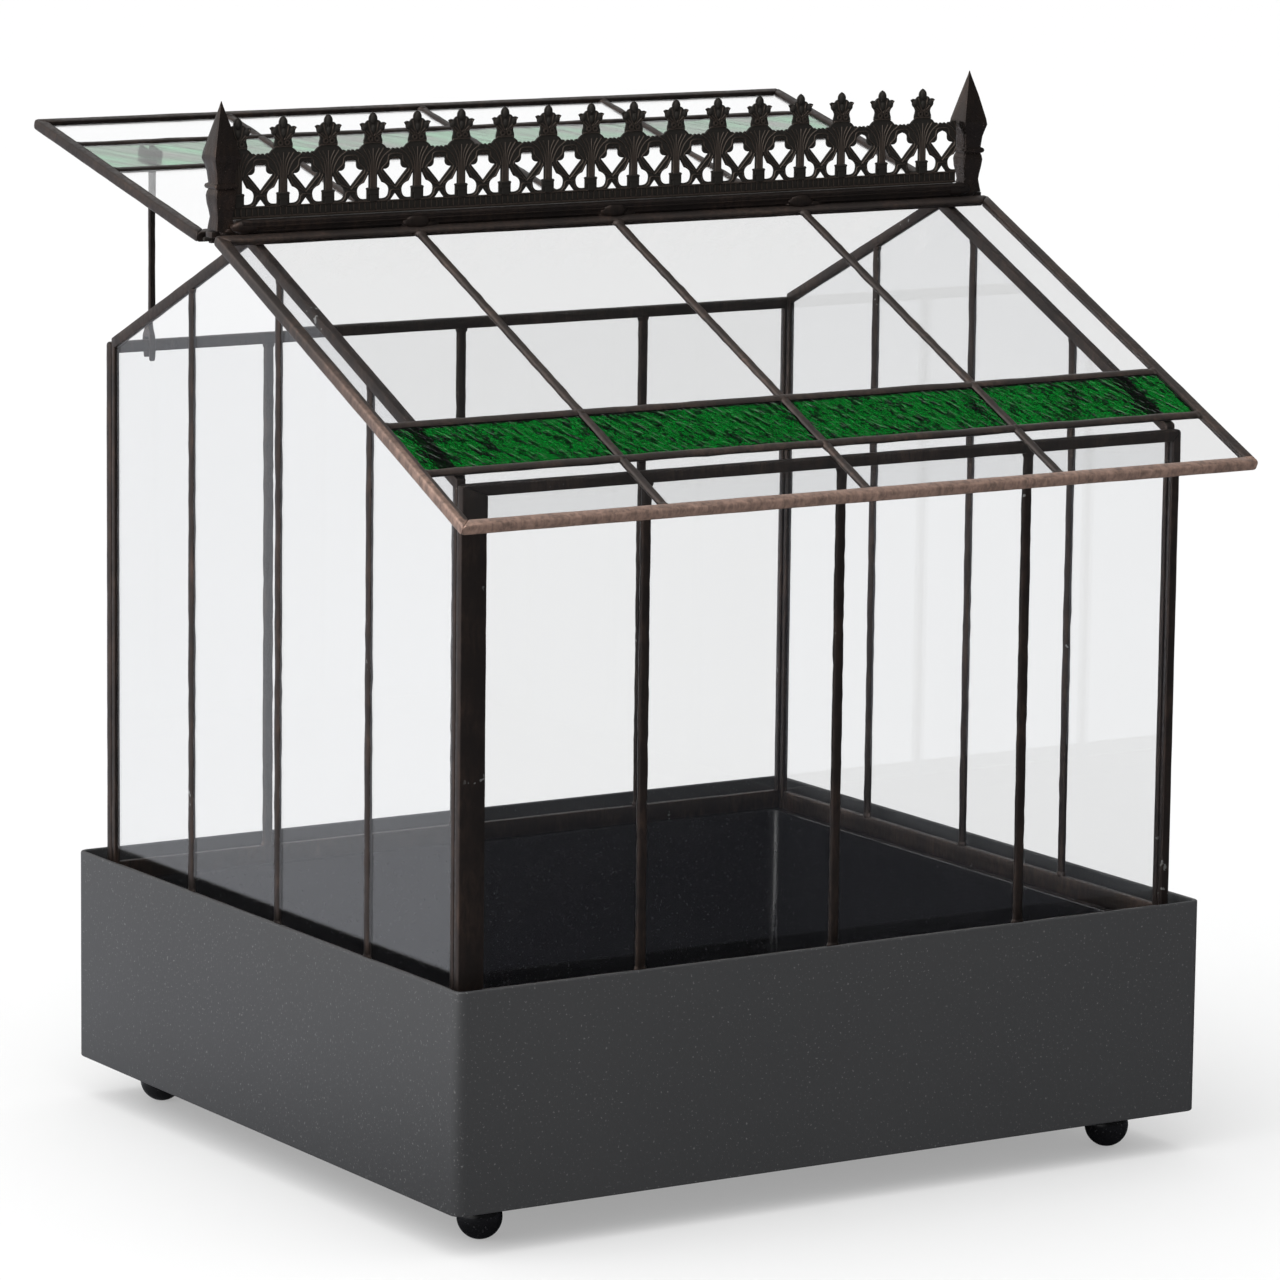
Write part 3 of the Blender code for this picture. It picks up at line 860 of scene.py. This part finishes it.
def flat_ring(half_x, half_y, z, width, thickness):
    """A level rectangular ring whose top lies at z."""
    rest()
    bpy.ops.mesh.primitive_plane_add(size=1, location=(0, CENTRE_Y, z))
    ring = bpy.context.object
    ring.scale = (2 * half_x, 2 * half_y, 1)
    settle(ring)
    pick(ring, "FACE", everything)
    bpy.ops.mesh.inset(thickness=width)
    bpy.ops.mesh.delete(type="FACE")
    rest()
    walled(ring, thickness)
    return ring


CENTRE_Y = middle("planter_box").y


class OBJECT_OT_plant_house_planter(PieceOperator, bpy.types.Operator):
    """Make the painted planter with its rounded rim and the ledge that carries the house"""
    bl_idname = "object.plant_house_planter"
    bl_label = "Planter"

    def build(self):
        low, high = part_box("planter_box")
        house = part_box("front_wall_frame")[0]
        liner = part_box("liner_tray")
        wall = sizes().planter_sheet
        shell = open_tray("planter_shell", low, high, sizes().planter_corner, wall)
        ledge_z = house.z - FIT_GAP
        half_x, half_y = high.x - wall * 0.5, (high.y - low.y) / 2 - wall * 0.5
        reach = half_x - liner[1].x + 3.1 * MM
        ledge = flat_ring(half_x, half_y, ledge_z, reach, 2 * MM)
        planter = joined("planter_shape", shell, ledge)
        rounded(planter, 0.0008, 3, 50)
        finished(planter, "planter", FLAT, "planter", satin_paint(), ["planter_box"])


class OBJECT_OT_plant_house_feet(PieceOperator, bpy.types.Operator):
    """Make the four black ball feet, flat below and on a short neck"""
    bl_idname = "object.plant_house_feet"
    bl_label = "Feet"

    def build(self):
        material = gloss_black("foot_gloss_black", 0.16, 0.0001)
        names = [f"foot_{a}_{b}" for a in ("front", "back") for b in ("left", "right")]
        low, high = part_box(names[0])
        centre = (low + high) / 2
        radius = (high.x - low.x) / 2
        rest()
        bpy.ops.mesh.primitive_uv_sphere_add(segments=40, ring_count=24, radius=radius,
                                             location=(centre.x, centre.y, radius - 0.4 * MM))
        ball = settle(bpy.context.object)
        cut(ball, (0, 0, low.z), (0, 0, -1))
        cut(ball, (0, 0, high.z - 1.2 * MM), (0, 0, 1))
        pick(ball, "FACE", facing((0, 0, 1), high.z - 1.3 * MM))
        bpy.ops.mesh.inset(thickness=1.3 * MM)
        bpy.ops.mesh.extrude_region_move(TRANSFORM_OT_translate={"value": (0, 0, 1.3 * MM)})
        bpy.ops.mesh.inset(thickness=-0.8 * MM)
        rest()
        rounded(ball, 0.0004, 2, 35)
        for name in names:
            foot = copied(ball, middle(name) - centre)
            finished(foot, name + "_ball", FLAT, "planter", material, [name])
        bpy.data.objects.remove(ball)


class OBJECT_OT_plant_house_liner(PieceOperator, bpy.types.Operator):
    """Make the gloss black liner tray with its flange"""
    bl_idname = "object.plant_house_liner"
    bl_label = "Liner"

    def build(self):
        low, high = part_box("liner_tray")
        rim = sizes().liner_rim
        inner = Vector((rim, rim, 0))
        tray = open_tray("liner_walls", low + inner, high - inner, 6 * MM, 1.2 * MM)
        half_x, half_y = (high.x - low.x) / 2, (high.y - low.y) / 2
        flange = flat_ring(half_x, half_y, high.z, rim + 0.6 * MM, 1 * MM)
        liner = joined("liner_shape", tray, flange)
        rounded(liner, 0.0004, 2, 50)
        finished(liner, "liner", FLAT, "liner", gloss_black("liner_gloss_black", 0.07, 0.0012),
                 ["liner_tray"])


class OBJECT_OT_plant_house_walls(PieceOperator, bpy.types.Operator):
    """Make the came frames of the two long walls and the two gables"""
    bl_idname = "object.plant_house_walls"
    bl_label = "Wall frames"

    def build(self):
        for side in ("front", "back"):
            name = side + "_wall_frame"
            plane = plane_at((0, middle(name).y, 0), UPRIGHT)
            shape = gridded_frame(side + "_wall", name, panes_of(side + "_wall"), plane)
            finished(shape, side + "_wall_came", plane, "house", came_patina(), [name])
        for side in ("left", "right"):
            name = side + "_gable_frame"
            plane = plane_at((middle(name).x, 0, 0), SIDEWAYS)
            shape = gable_frame(side + "_gable", name, panes_of(side + "_gable"), plane)
            finished(shape, side + "_gable_came", plane, "house", came_patina(), [name])


class OBJECT_OT_plant_house_roof(PieceOperator, bpy.types.Operator):
    """Make the came frame of the fixed front roof"""
    bl_idname = "object.plant_house_roof"
    bl_label = "Front roof frame"

    def build(self):
        shape = gridded_frame("front_roof", "front_roof_frame", panes_of("front_roof"), ROOF_PLANE)
        finished(shape, "front_roof_came", ROOF_PLANE, "house", roof_patina_and_highlight(),
                 ["front_roof_frame"])


class OBJECT_OT_plant_house_lid(PieceOperator, bpy.types.Operator):
    """Make the lid's came frame with the two ears that hold the prop's pin"""
    bl_idname = "object.plant_house_lid"
    bl_label = "Lid frame"

    def build(self):
        shape = gridded_frame("lid_frame", "lid_frame", panes_of("lid"), LID_PLANE)
        pin_low, pin_high = in_plane("prop_pivot_pin", LID_PLANE)
        pin = (pin_low + pin_high) / 2
        ear_half = 3.4 * MM
        top = 0.6 * MM - in_plane("lid_frame", LID_PLANE)[1].z
        ears = blocks("lid_ears", [((x - 0.8 * MM, pin.y - ear_half, pin.z - 2.8 * MM),
                                    (x + 0.8 * MM, pin.y + 2.2 * ear_half, top))
                                   for x in (pin_low.x + 1.3 * MM, pin_high.x - 1.3 * MM)])
        bevel(ears, along((1, 0, 0)), 1.6 * MM, 4)
        rounded(ears, 0.0003, 2, 50)
        shape = joined("lid_shape", shape, ears)
        finished(shape, "lid_came", LID_PLANE, "lid", came_patina(), ["lid_frame"])


class OBJECT_OT_plant_house_ridge(PieceOperator, bpy.types.Operator):
    """Make the ridge with its mouldings, hinge knuckles and the solder that ties it to the roof"""
    bl_idname = "object.plant_house_ridge"
    bl_label = "Ridge"

    def build(self):
        low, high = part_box("ridge_bar")
        crest = middle("ridge_cresting")
        cap_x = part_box("lid_hinge_tube")[1].x
        base_z = high.z - 6.9 * MM

        def place(x, back, up):
            """A point so many millimetres behind the cresting's middle and above the ridge's top."""
            return x, crest.y + back * MM, high.z + up * MM

        strip = blocks("ridge_strip", [
            ((low.x, crest.y - 2.8 * MM, base_z), (high.x, crest.y + 3.0 * MM, base_z + 2.6 * MM)),
            ((-cap_x, crest.y - 2.6 * MM, base_z + 1.0 * MM), place(cap_x, 2.8, -1.3)),
            ((-cap_x, low.y, high.z - 1.8 * MM), place(cap_x, 7.5, 0))])
        divide(strip, along((1, 0, 0), 0.05), 60)
        rounded(strip, 0.0004, 2, 40)
        half = cap_x / MM
        y, z = crest.y / MM, high.z / MM
        # each moulding: radius, how far forward of the cresting, how far below the top
        mouldings = ((0.75, 7.3, 2.3), (0.60, 6.4, 3.8), (0.90, 5.2, 5.3), (0.55, 7.6, 0.6))
        lines = ribs("ridge_lines", [(radius, [(x, y - ahead, z - below) for x in (-half, 0, half)])
                                     for radius, ahead, below in mouldings], 40)
        skirt = blocks("ridge_skirt", [(place(-cap_x, -6.9, -4.6), place(cap_x, -2, -1.4)),
                                       (place(-cap_x, -5.0, -6.2), place(cap_x, -2, -4.2))])
        divide(skirt, along((1, 0, 0), 0.05), 60)
        columns = windows_of(panes_of("front_roof"), ROOF_PLANE)[0]
        meets = [(a[1] + b[0]) / 2 + ROOF_PLANE.translation.x for a, b in zip(columns, columns[1:])]
        places = [(place(x, -6.6, -3.6), (7 * MM, 2.4 * MM, 3.4 * MM)) for x in meets]
        places += [(place(x + 2 * MM, -6.0, -5.2), (10 * MM, 2.0 * MM, 2.0 * MM)) for x in meets]
        for side in (-1, 1):
            places.append((place(side * (cap_x - 3 * MM), -5, -2.4), (8 * MM, 3.2 * MM, 3.0 * MM)))
            places.append((place(side * (cap_x + 4 * MM), -0.4, -4.2), (6 * MM, 4.6 * MM, 2.8 * MM)))
        blobs = balls("ridge_blobs", places)
        lumpy(blobs, 0.0016, 0.006)
        knuckles = []
        for side in (-1, 1):
            rod_end = middle("hinge_rod")
            x = side * (cap_x + 4.7 * MM)
            knuckle = ribs("ridge_knuckle", [(2.0, [((x - 1.5 * MM) / MM, rod_end.y / MM, rod_end.z / MM),
                                                    ((x + 1.5 * MM) / MM, rod_end.y / MM, rod_end.z / MM)])])
            arm = blocks("ridge_arm", [((x - 1.5 * MM, crest.y + 2 * MM, rod_end.z + 1.2 * MM),
                                        (x + 1.5 * MM, rod_end.y + 1.0 * MM, rod_end.z + 2.9 * MM))])
            knuckles += [knuckle, arm]
        body = joined("ridge_body", strip, lines, skirt, *knuckles)
        lumpy(body, 0.0004, 0.010)
        ridge = joined("ridge_shape", body, blobs)
        finished(ridge, "ridge", FLAT, "house", came_patina(), ["ridge_bar"])


def mirrored(points):
    return [[(-p[0], *p[1:]) for p in points], points]


def crest_unit():
    """One post of the cresting with its capital, crown and half an arch to each side, in its own plane."""
    half = CREST_PITCH / MM / 2
    edge = [(half, 0.0, 1), (half, 4.6, 1), (half - 3.0, 4.6, 1), (half, 8.3, 1), (half, 12.0, 1),
            (half - 2.3, 14.7, 0), (half - 4.3, 16.9, 0), (half - 6.1, 18.9, 1), (half - 4.3, 19.1, 0),
            (half - 3.0, 20.3, 0), (half - 2.6, 23.0, 0), (half, 24.3, 1), (half, 27.6, 1),
            (half - 1.2, 28.1, 0),
            (half - 2.1, 27.3, 1), (half - 3.3, 28.2, 0), (half - 4.2, 28.0, 1), (5.7, 29.4, 0),
            (4.4, 30.2, 1),
            (4.7, 31.4, 0), (4.3, 32.8, 1), (4.1, 34.0, 1), (4.8, 35.8, 0), (5.6, 37.2, 0), (6.7, 38.9, 1),
            (5.3, 39.5, 0), (4.1, 39.2, 1), (3.0, 40.3, 0), (2.1, 40.6, 1), (2.0, 41.9, 0), (1.2, 43.2, 0)]
    loop = edge + [(0.0, 44.0, 1)] + [(-a, b, c) for a, b, c in reversed(edge)]
    lobe = [(2.1, 17.4, 1), (3.3, 15.2, 0), (4.5, 13.2, 1), (6.2, 12.5, 0), (7.7, 11.0, 0), (7.9, 8.9, 0),
            (7.0, 6.9, 0), (5.2, 6.2, 0), (3.1, 6.2, 1), (3.1, 10.9, 1), (2.1, 11.1, 1)]
    holes = [lobe, [(-a, b, c) for a, b, c in lobe]]
    thick = sizes().crest_sheet
    plate = outline_plate("crest_plate", [loop] + holes, thick, 0.2 * MM)
    lines = []
    for face in (1, -1):
        z = face * thick / MM / 2

        def on_face(points):
            return [(a, b, z) for a, b in points]

        lines.append((0.30, on_face([(0, 10.5), (0, 19), (0, 28.2)])))
        lines.append((0.40, on_face([(-4.4, 30.6), (0, 30.8), (4.4, 30.6)])))
        lines.append((0.32, on_face([(-half, 5.0), (0, 5.0), (half, 5.0)])))
        lines.append((0.50, on_face([(-half, 0.6), (0, 0.6), (half, 0.6)])))
        for line in ((0.26, [(0.65, 10.5), (0.7, 19.5), (1.2, 24.5), (3.0, 28.2)]),
                     (0.30, [(1.3, 10.5), (1.35, 18.5), (2.3, 23.6), (5.2, 28.2)]),
                     (0.30, [(2.2, 18.4), (3.1, 21.2), (5.3, 24.8), (8.6, 27.2)]),
                     (0.28, [(half, 25.6), (half - 3.2, 25.0), (half - 3.9, 22.2), (half - 5.4, 20.6),
                             (half - 7.0, 18.8),
                             (half - 4.6, 15.6), (half, 10.6)]),
                     (0.28, [(half, 9.7), (half - 2.3, 9.4), (half - 2.9, 7.2), (6.4, 5.5), (3.0, 5.4)]),
                     (0.28, [(2.8, 18.0), (4.3, 15.0), (5.4, 13.5), (half - 1.6, 11.4)]),
                     (0.34, [(0.4, 33.6), (1.8, 36.6), (2.5, 39.8)]),
                     (0.34, [(1.2, 33.8), (3.4, 35.8), (5.8, 38.6)]),
                     (0.28, [(2.4, 33.8), (3.6, 34.6), (4.6, 35.8)])):
            for points in mirrored(line[1]):
                lines.append((line[0], on_face(points)))
    relief = ribs("crest_relief", lines, 3)
    eyes = []
    for x in (-1.6, 1.6):
        rest()
        bpy.ops.mesh.primitive_torus_add(major_segments=12, minor_segments=6, major_radius=1.0 * MM,
                                         minor_radius=0.55 * MM, location=(x * MM, 32.4 * MM, 0))
        eye = bpy.context.object
        eye.scale = (1, 1, 2.1)
        eyes.append(settle(eye))
    buds = balls("crest_buds", [((0, 41.0 * MM, 0), (1.6 * MM, 2.5 * MM, 1.4 * MM)),
                                ((0, 36.6 * MM, 0), (1.4 * MM, 2.3 * MM, 1.4 * MM)),
                                ((4.4 * MM, 37.3 * MM, 0), (1.5 * MM, 1.8 * MM, 1.25 * MM)),
                                ((-4.4 * MM, 37.3 * MM, 0), (1.5 * MM, 1.8 * MM, 1.25 * MM))])
    steps = [((-2.5, 8.0, -1.2), (2.5, 10.9, 1.2)), ((-2.8, 10.0, -1.4), (2.8, 10.8, 1.4)),
             ((-1.8, 5.0, -1.1), (1.8, 8.2, 1.1))]
    base = blocks("crest_base", [[[c * MM for c in corner] for corner in span] for span in steps])
    bevel(base, everything, 0.18 * MM, 1)
    pitch = half / 4
    dentils = [((i * pitch - half + 1.0, 1.4, -0.95), (i * pitch - half + 1.5, 4.5, 0.95)) for i in range(8)]
    teeth = blocks("crest_dentils", [[[c * MM for c in corner] for corner in span] for span in dentils])
    return {"cresting": joined("crest_plate", plate, buds, base),
            "cresting_relief": joined("crest_relief", relief, *eyes, teeth)}


class OBJECT_OT_plant_house_cresting(PieceOperator, bpy.types.Operator):
    """Make the pierced cresting, one post copied along the ridge between the finials"""
    bl_idname = "object.plant_house_cresting"
    bl_label = "Cresting"

    def build(self):
        low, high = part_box("ridge_cresting")
        plane = plane_at((0, (low.y + high.y) / 2, low.z), UPRIGHT)
        first = middle("finial_left").x + sizes().crest_start
        count = int((high.x - first) / CREST_PITCH) + 1
        nodes = {"cresting": ["ridge_cresting"], "cresting_relief": []}
        finishes = {"cresting": cast_patina(), "cresting_relief": relief_patina()}
        for name, unit in crest_unit().items():
            posts = [copied(unit, (first + i * CREST_PITCH, 0, 0)) for i in range(count)]
            cut(posts[0], (low.x - 2.5 * MM, 0, 0), (-1, 0, 0))
            end = copied(unit, (first + count * CREST_PITCH, 0, 0))
            cut(end, (high.x, 0, 0), (1, 0, 0))
            cut(end, (0, 28.6 * MM, 0), (0, 1, 0))
            bpy.data.objects.remove(unit)
            finished(joined(name + "_shape", *posts, end), name, plane, "house",
                     finishes[name],
                     nodes[name], 35)


class OBJECT_OT_plant_house_finials(PieceOperator, bpy.types.Operator):
    """Make the two square spearhead finials, drawn up step by step from their bases"""
    bl_idname = "object.plant_house_finials"
    bl_label = "Finials"

    def build(self):
        low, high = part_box("finial_left")
        centre = (low + high) / 2
        tall = high.z - low.z
        # each step: share of the height, then half the width in millimetres
        steps = ((0.036, 4.2), (0.104, 3.6), (0.150, 3.9), (0.212, 4.6), (0.269, 4.9), (0.300, 4.6),
                 (0.320, 4.2),
                 (0.328, 5.2), (0.345, 5.5), (0.359, 5.2), (0.370, 4.2), (0.460, 4.7), (0.520, 5.6),
                 (0.557, 6.3),
                 (0.602, 6.0), (0.800, 3.1), (0.960, 0.7), (1.0, 0.15))
        first = 0.010
        finial = blocks("finial_shape", [((centre.x - 4.4 * MM, centre.y - 4.4 * MM, low.z),
                                          (centre.x + 4.4 * MM, centre.y + 4.4 * MM, low.z + first * tall))])
        pick(finial, "FACE", facing((0, 0, 1)))
        share, half = first, 4.4
        for next_share, next_half in steps:
            climb = (0, 0, (next_share - share) * tall)
            bpy.ops.mesh.extrude_region_move(TRANSFORM_OT_translate={"value": climb})
            ratio = next_half / half
            bpy.ops.transform.resize(value=(ratio, ratio, 1),
                                     center_override=(centre.x, centre.y, low.z + next_share * tall))
            share, half = next_share, next_half
        rest()

        def rise(edge):
            return abs(edge.verts[0].co.z - edge.verts[1].co.z)

        bevel(finial, lambda edge: rise(edge) > 0.1 * MM, 0.7 * MM, 2)
        divide(finial, lambda edge: rise(edge) < 0.01 * MM and edge.calc_length() > 2 * MM, 3)
        rounded(finial, 0.00025, 2, 32)
        lumpy(finial, 0.0006, 0.006)
        twin = copied(finial, middle("finial_right") - centre)
        finished(finial, "left_finial", FLAT, "house", finial_patina(), ["finial_left"], 35)
        finished(twin, "right_finial", FLAT, "house", finial_patina(), ["finial_right"], 35)


class OBJECT_OT_plant_house_hinge(PieceOperator, bpy.types.Operator):
    """Make the hinge's rod, the lid's tube round it, and the prop's pin"""
    bl_idname = "object.plant_house_hinge"
    bl_label = "Hinge"

    def build(self):
        for node_name, name, body, collar in (("hinge_rod", "ridge_hinge_rod", "house", 0.35),
                                              ("lid_hinge_tube", "lid_tube", "lid", 0.15),
                                              ("prop_pivot_pin", "prop_pin", "lid", 0.35)):
            low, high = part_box(node_name)
            radius, length = (high.z - low.z) / 2, high.x - low.x
            rest()
            bpy.ops.mesh.primitive_cylinder_add(vertices=28, radius=radius, depth=length,
                                                location=(low + high) / 2, rotation=(0, math.pi / 2, 0))
            rod = settle(bpy.context.object)
            for side in (-1, 1):
                pick(rod, "FACE", facing((side, 0, 0)))
                bpy.ops.mesh.inset(thickness=collar * radius, depth=-0.2 * MM if collar < 0.2 else 0.3 * MM)
            rest()
            divide(rod, along((1, 0, 0), 0.003), 40)
            rounded(rod, 0.00015, 2, 40)
            lumpy(rod, 0.00025, 0.008)
            finished(rod, name, FLAT, body, cast_patina(), [node_name])


class OBJECT_OT_plant_house_prop(PieceOperator, bpy.types.Operator):
    """Make the flat prop with its flared head and the fork that straddles the back wall"""
    bl_idname = "object.plant_house_prop"
    bl_label = "Prop"

    def build(self):
        low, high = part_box("prop_rod")
        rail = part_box("back_wall_frame")
        inner = (rail[1].y - rail[0].y) / 2 / MM + 0.3
        outer = (high.y - low.y) / 2 / MM
        crotch = (rail[1].z - PROP_PIVOT.z) / MM + 0.3
        tip = (low.z - PROP_PIVOT.z) / MM

        def leg(cut_short):
            return [(0.0, 2.6, 0), (2.5, 0.0, 0), (1.5, -2.6, 0), (1.2, -6.0, 0), (1.2, crotch + 9.0, 0),
                    (1.9, crotch + 5.0, 0), (outer - 0.4, crotch + 2.4, 0), (outer, crotch, 0),
                    (outer, tip + cut_short + 2.0, 0), (outer - 0.7, tip + cut_short, 1),
                    (inner, tip + cut_short + 1.6, 0), (inner, crotch - 1.2, 0),
                    (inner * 0.7, crotch + 0.8, 0)]

        outside = leg(1.4)
        inside = [(-a, b, c) for a, b, c in reversed(leg(0.0)[1:])]
        prop = outline_plate("prop_shape", [outside + [(0.0, crotch + 1.3, 0)] + inside], high.x - low.x,
                             0.35 * MM)
        divide(prop, along((0, 1, 0), 0.02), 30)
        lumpy(prop, 0.0003, 0.010)
        finished(prop, "prop", plane_at(PROP_PIVOT, SIDEWAYS), "prop", came_patina(),
                 ["prop_rod"])


class OBJECT_OT_plant_house_glass(PieceOperator, bpy.types.Operator):
    """Give every pane its glass: clear sheet, green rolled glass, and the lid's paler green"""
    bl_idname = "object.plant_house_glass"
    bl_label = "Glass"

    def build(self):
        clear = clear_glass()
        look = colours()
        green = rolled_glass("green_rolled_glass", (look.green, look.mid_green, look.dark_green), 70,
                             (60.0, 340.0, 340.0), (0.56, 0.61), (0.68, 0.80, 0.0, 0.5), 0.05, 0.0006)
        pale = rolled_glass("pale_green_rolled_glass", (look.pale_green, look.pale_green, look.mauve), 40,
                            (30.0, 150.0, 150.0), (0.44, 0.74), (0.45, 0.65), 0.10, 0.0003)
        for name in panes_of(""):
            glass = pale if name.startswith("lid_band") else green if "_band_" in name else clear
            pane = frame["nodes"][name]
            pane.material_slots[0].material = glass


class OBJECT_OT_plant_house_stage(PieceOperator, bpy.types.Operator):
    """Set the pale floor, the soft studio light and the camera"""
    bl_idname = "object.plant_house_stage"
    bl_label = "Stage"

    def build(self):
        scene = bpy.context.scene
        rest()
        bpy.ops.mesh.primitive_plane_add(size=60, location=(0, 0, 0))
        floor = bpy.context.object
        floor.name = "floor"
        material, tree, shader, where = new_material("floor_white")
        set_shader(tree, shader, Roughness=0.8, Specular_IOR_Level=0.1, Base_Color=(0.435, 0.435, 0.435, 1),
                   Emission_Color=(1, 1, 1, 1), Emission_Strength=0.33)
        in_mirror = maths(tree, "GREATER_THAN", tree.nodes.new("ShaderNodeLightPath").outputs["Glossy Depth"],
                          0.5)
        side = node(tree, "ShaderNodeVectorMath", {0: where, 1: (-1, 1, 0)},
                    operation="DOT_PRODUCT").outputs["Value"]
        dim = node(tree, "ShaderNodeBsdfDiffuse",
                   {"Color": blend(tree, ramp(tree, side, 0.0, 0.5), (0.05, 0.052, 0.06, 1),
                                   (0.42, 0.43, 0.46, 1))})
        either = node(tree, "ShaderNodeMixShader", {0: in_mirror, 1: shader.outputs[0], 2: dim.outputs[0]})
        tree.links.new(either.outputs[0], tree.nodes["Material Output"].inputs["Surface"])
        floor.data.materials.append(material)

        world = bpy.data.worlds.new("studio")
        scene.world = world
        world.use_nodes = True
        tree = world.node_tree
        path = tree.nodes.new("ShaderNodeLightPath").outputs
        plain = maths(tree, "MAXIMUM", path["Is Camera Ray"], path["Is Transmission Ray"])
        direct = maths(tree, "MULTIPLY", plain, maths(tree, "LESS_THAN", path["Glossy Depth"], 0.5))
        around = tree.nodes.new("ShaderNodeTexCoord").outputs["Generated"]

        def toward(direction):
            return node(tree, "ShaderNodeVectorMath", {0: around, 1: direction},
                        operation="DOT_PRODUCT").outputs["Value"]

        left_wall = ramp(tree, toward((-0.75, 0.45, 0.35)), 0.12, 0.9, 0.04, 1.1)
        rear_screen = maths(tree, "MULTIPLY", ramp(tree, toward((0.5, 0.8, 0.33)), 0.88, 0.96),
                            ramp(tree, toward((0, 0, 1)), 0.30, 0.42))
        glow = maths(tree, "MAXIMUM", left_wall, rear_screen)
        sky = blend(tree, glow, (0, 0, 0, 1), (1, 1, 1, 1))
        fill = blend(tree, path["Is Diffuse Ray"], sky, SKY_FILL)
        tree.links.new(blend(tree, direct, fill, BACKDROP), tree.nodes["Background"].inputs["Color"])

        def lamp(name, kind, energy, rotation, location=(0, 0, 0), **settings):
            light = bpy.data.lights.new(name, kind)
            light.energy = energy
            for key, value in settings.items():
                setattr(light, key, value)
            ob = bpy.data.objects.new(name, light)
            ob.location = location
            ob.rotation_euler = [math.radians(a) for a in rotation]
            scene.collection.objects.link(ob)

        lamp("overhead", "SUN", 1.7, (12, -22, 0), angle=math.radians(70))
        lamp("left_box", "AREA", 7.0, (0, -72, 8), (-1.4, 0.1, 0.75), shape="RECTANGLE", size=1.0, size_y=1.4)

        data = bpy.data.cameras.new("camera")
        data.lens = 184.0
        data.sensor_width = 36.0
        data.clip_end = 100
        camera = bpy.data.objects.new("camera", data)
        scene.collection.objects.link(camera)
        camera.matrix_world = (Matrix.Translation(CAMERA_PLACE)
                               @ Matrix.Rotation(math.radians(CAMERA_TURN), 4, "Z")
                               @ Matrix.Rotation(math.radians(CAMERA_TILT), 4, "X")
                               @ Matrix.Rotation(math.radians(CAMERA_ROLL), 4, "Z"))
        scene.camera = camera
        scene.view_settings.view_transform = "Standard"


OPERATORS = (OBJECT_OT_plant_house_planter, OBJECT_OT_plant_house_feet, OBJECT_OT_plant_house_liner,
             OBJECT_OT_plant_house_walls, OBJECT_OT_plant_house_roof, OBJECT_OT_plant_house_lid,
             OBJECT_OT_plant_house_ridge, OBJECT_OT_plant_house_cresting, OBJECT_OT_plant_house_finials,
             OBJECT_OT_plant_house_hinge, OBJECT_OT_plant_house_prop, OBJECT_OT_plant_house_glass,
             OBJECT_OT_plant_house_stage)


class VIEW3D_PT_plant_house(bpy.types.Panel):
    bl_idname = "VIEW3D_PT_plant_house"
    bl_label = "Plant house"
    bl_space_type = "VIEW_3D"
    bl_region_type = "UI"
    bl_category = "Plant house"

    def draw(self, context):
        for settings in (context.scene.plant_house_sizes, context.scene.plant_house_colours):
            box = self.layout.box()
            for key in settings.bl_rna.properties.keys():
                if key not in {"rna_type", "name"}:
                    box.prop(settings, key)
        for operator in OPERATORS:
            self.layout.operator(operator.bl_idname)


CLASSES = (PlantHouseSizes, PlantHouseColours, *OPERATORS, VIEW3D_PT_plant_house)


def register():
    for cls in CLASSES:
        bpy.utils.register_class(cls)
    bpy.types.Scene.plant_house_sizes = bpy.props.PointerProperty(type=PlantHouseSizes)
    bpy.types.Scene.plant_house_colours = bpy.props.PointerProperty(type=PlantHouseColours)


def unregister():
    del bpy.types.Scene.plant_house_colours
    del bpy.types.Scene.plant_house_sizes
    for cls in reversed(CLASSES):
        bpy.utils.unregister_class(cls)


def main():
    register()
    for operator in OPERATORS:
        name = operator.bl_idname.split(".")[1]
        getattr(bpy.ops.object, name)()


if __name__ == "__main__":
    main()
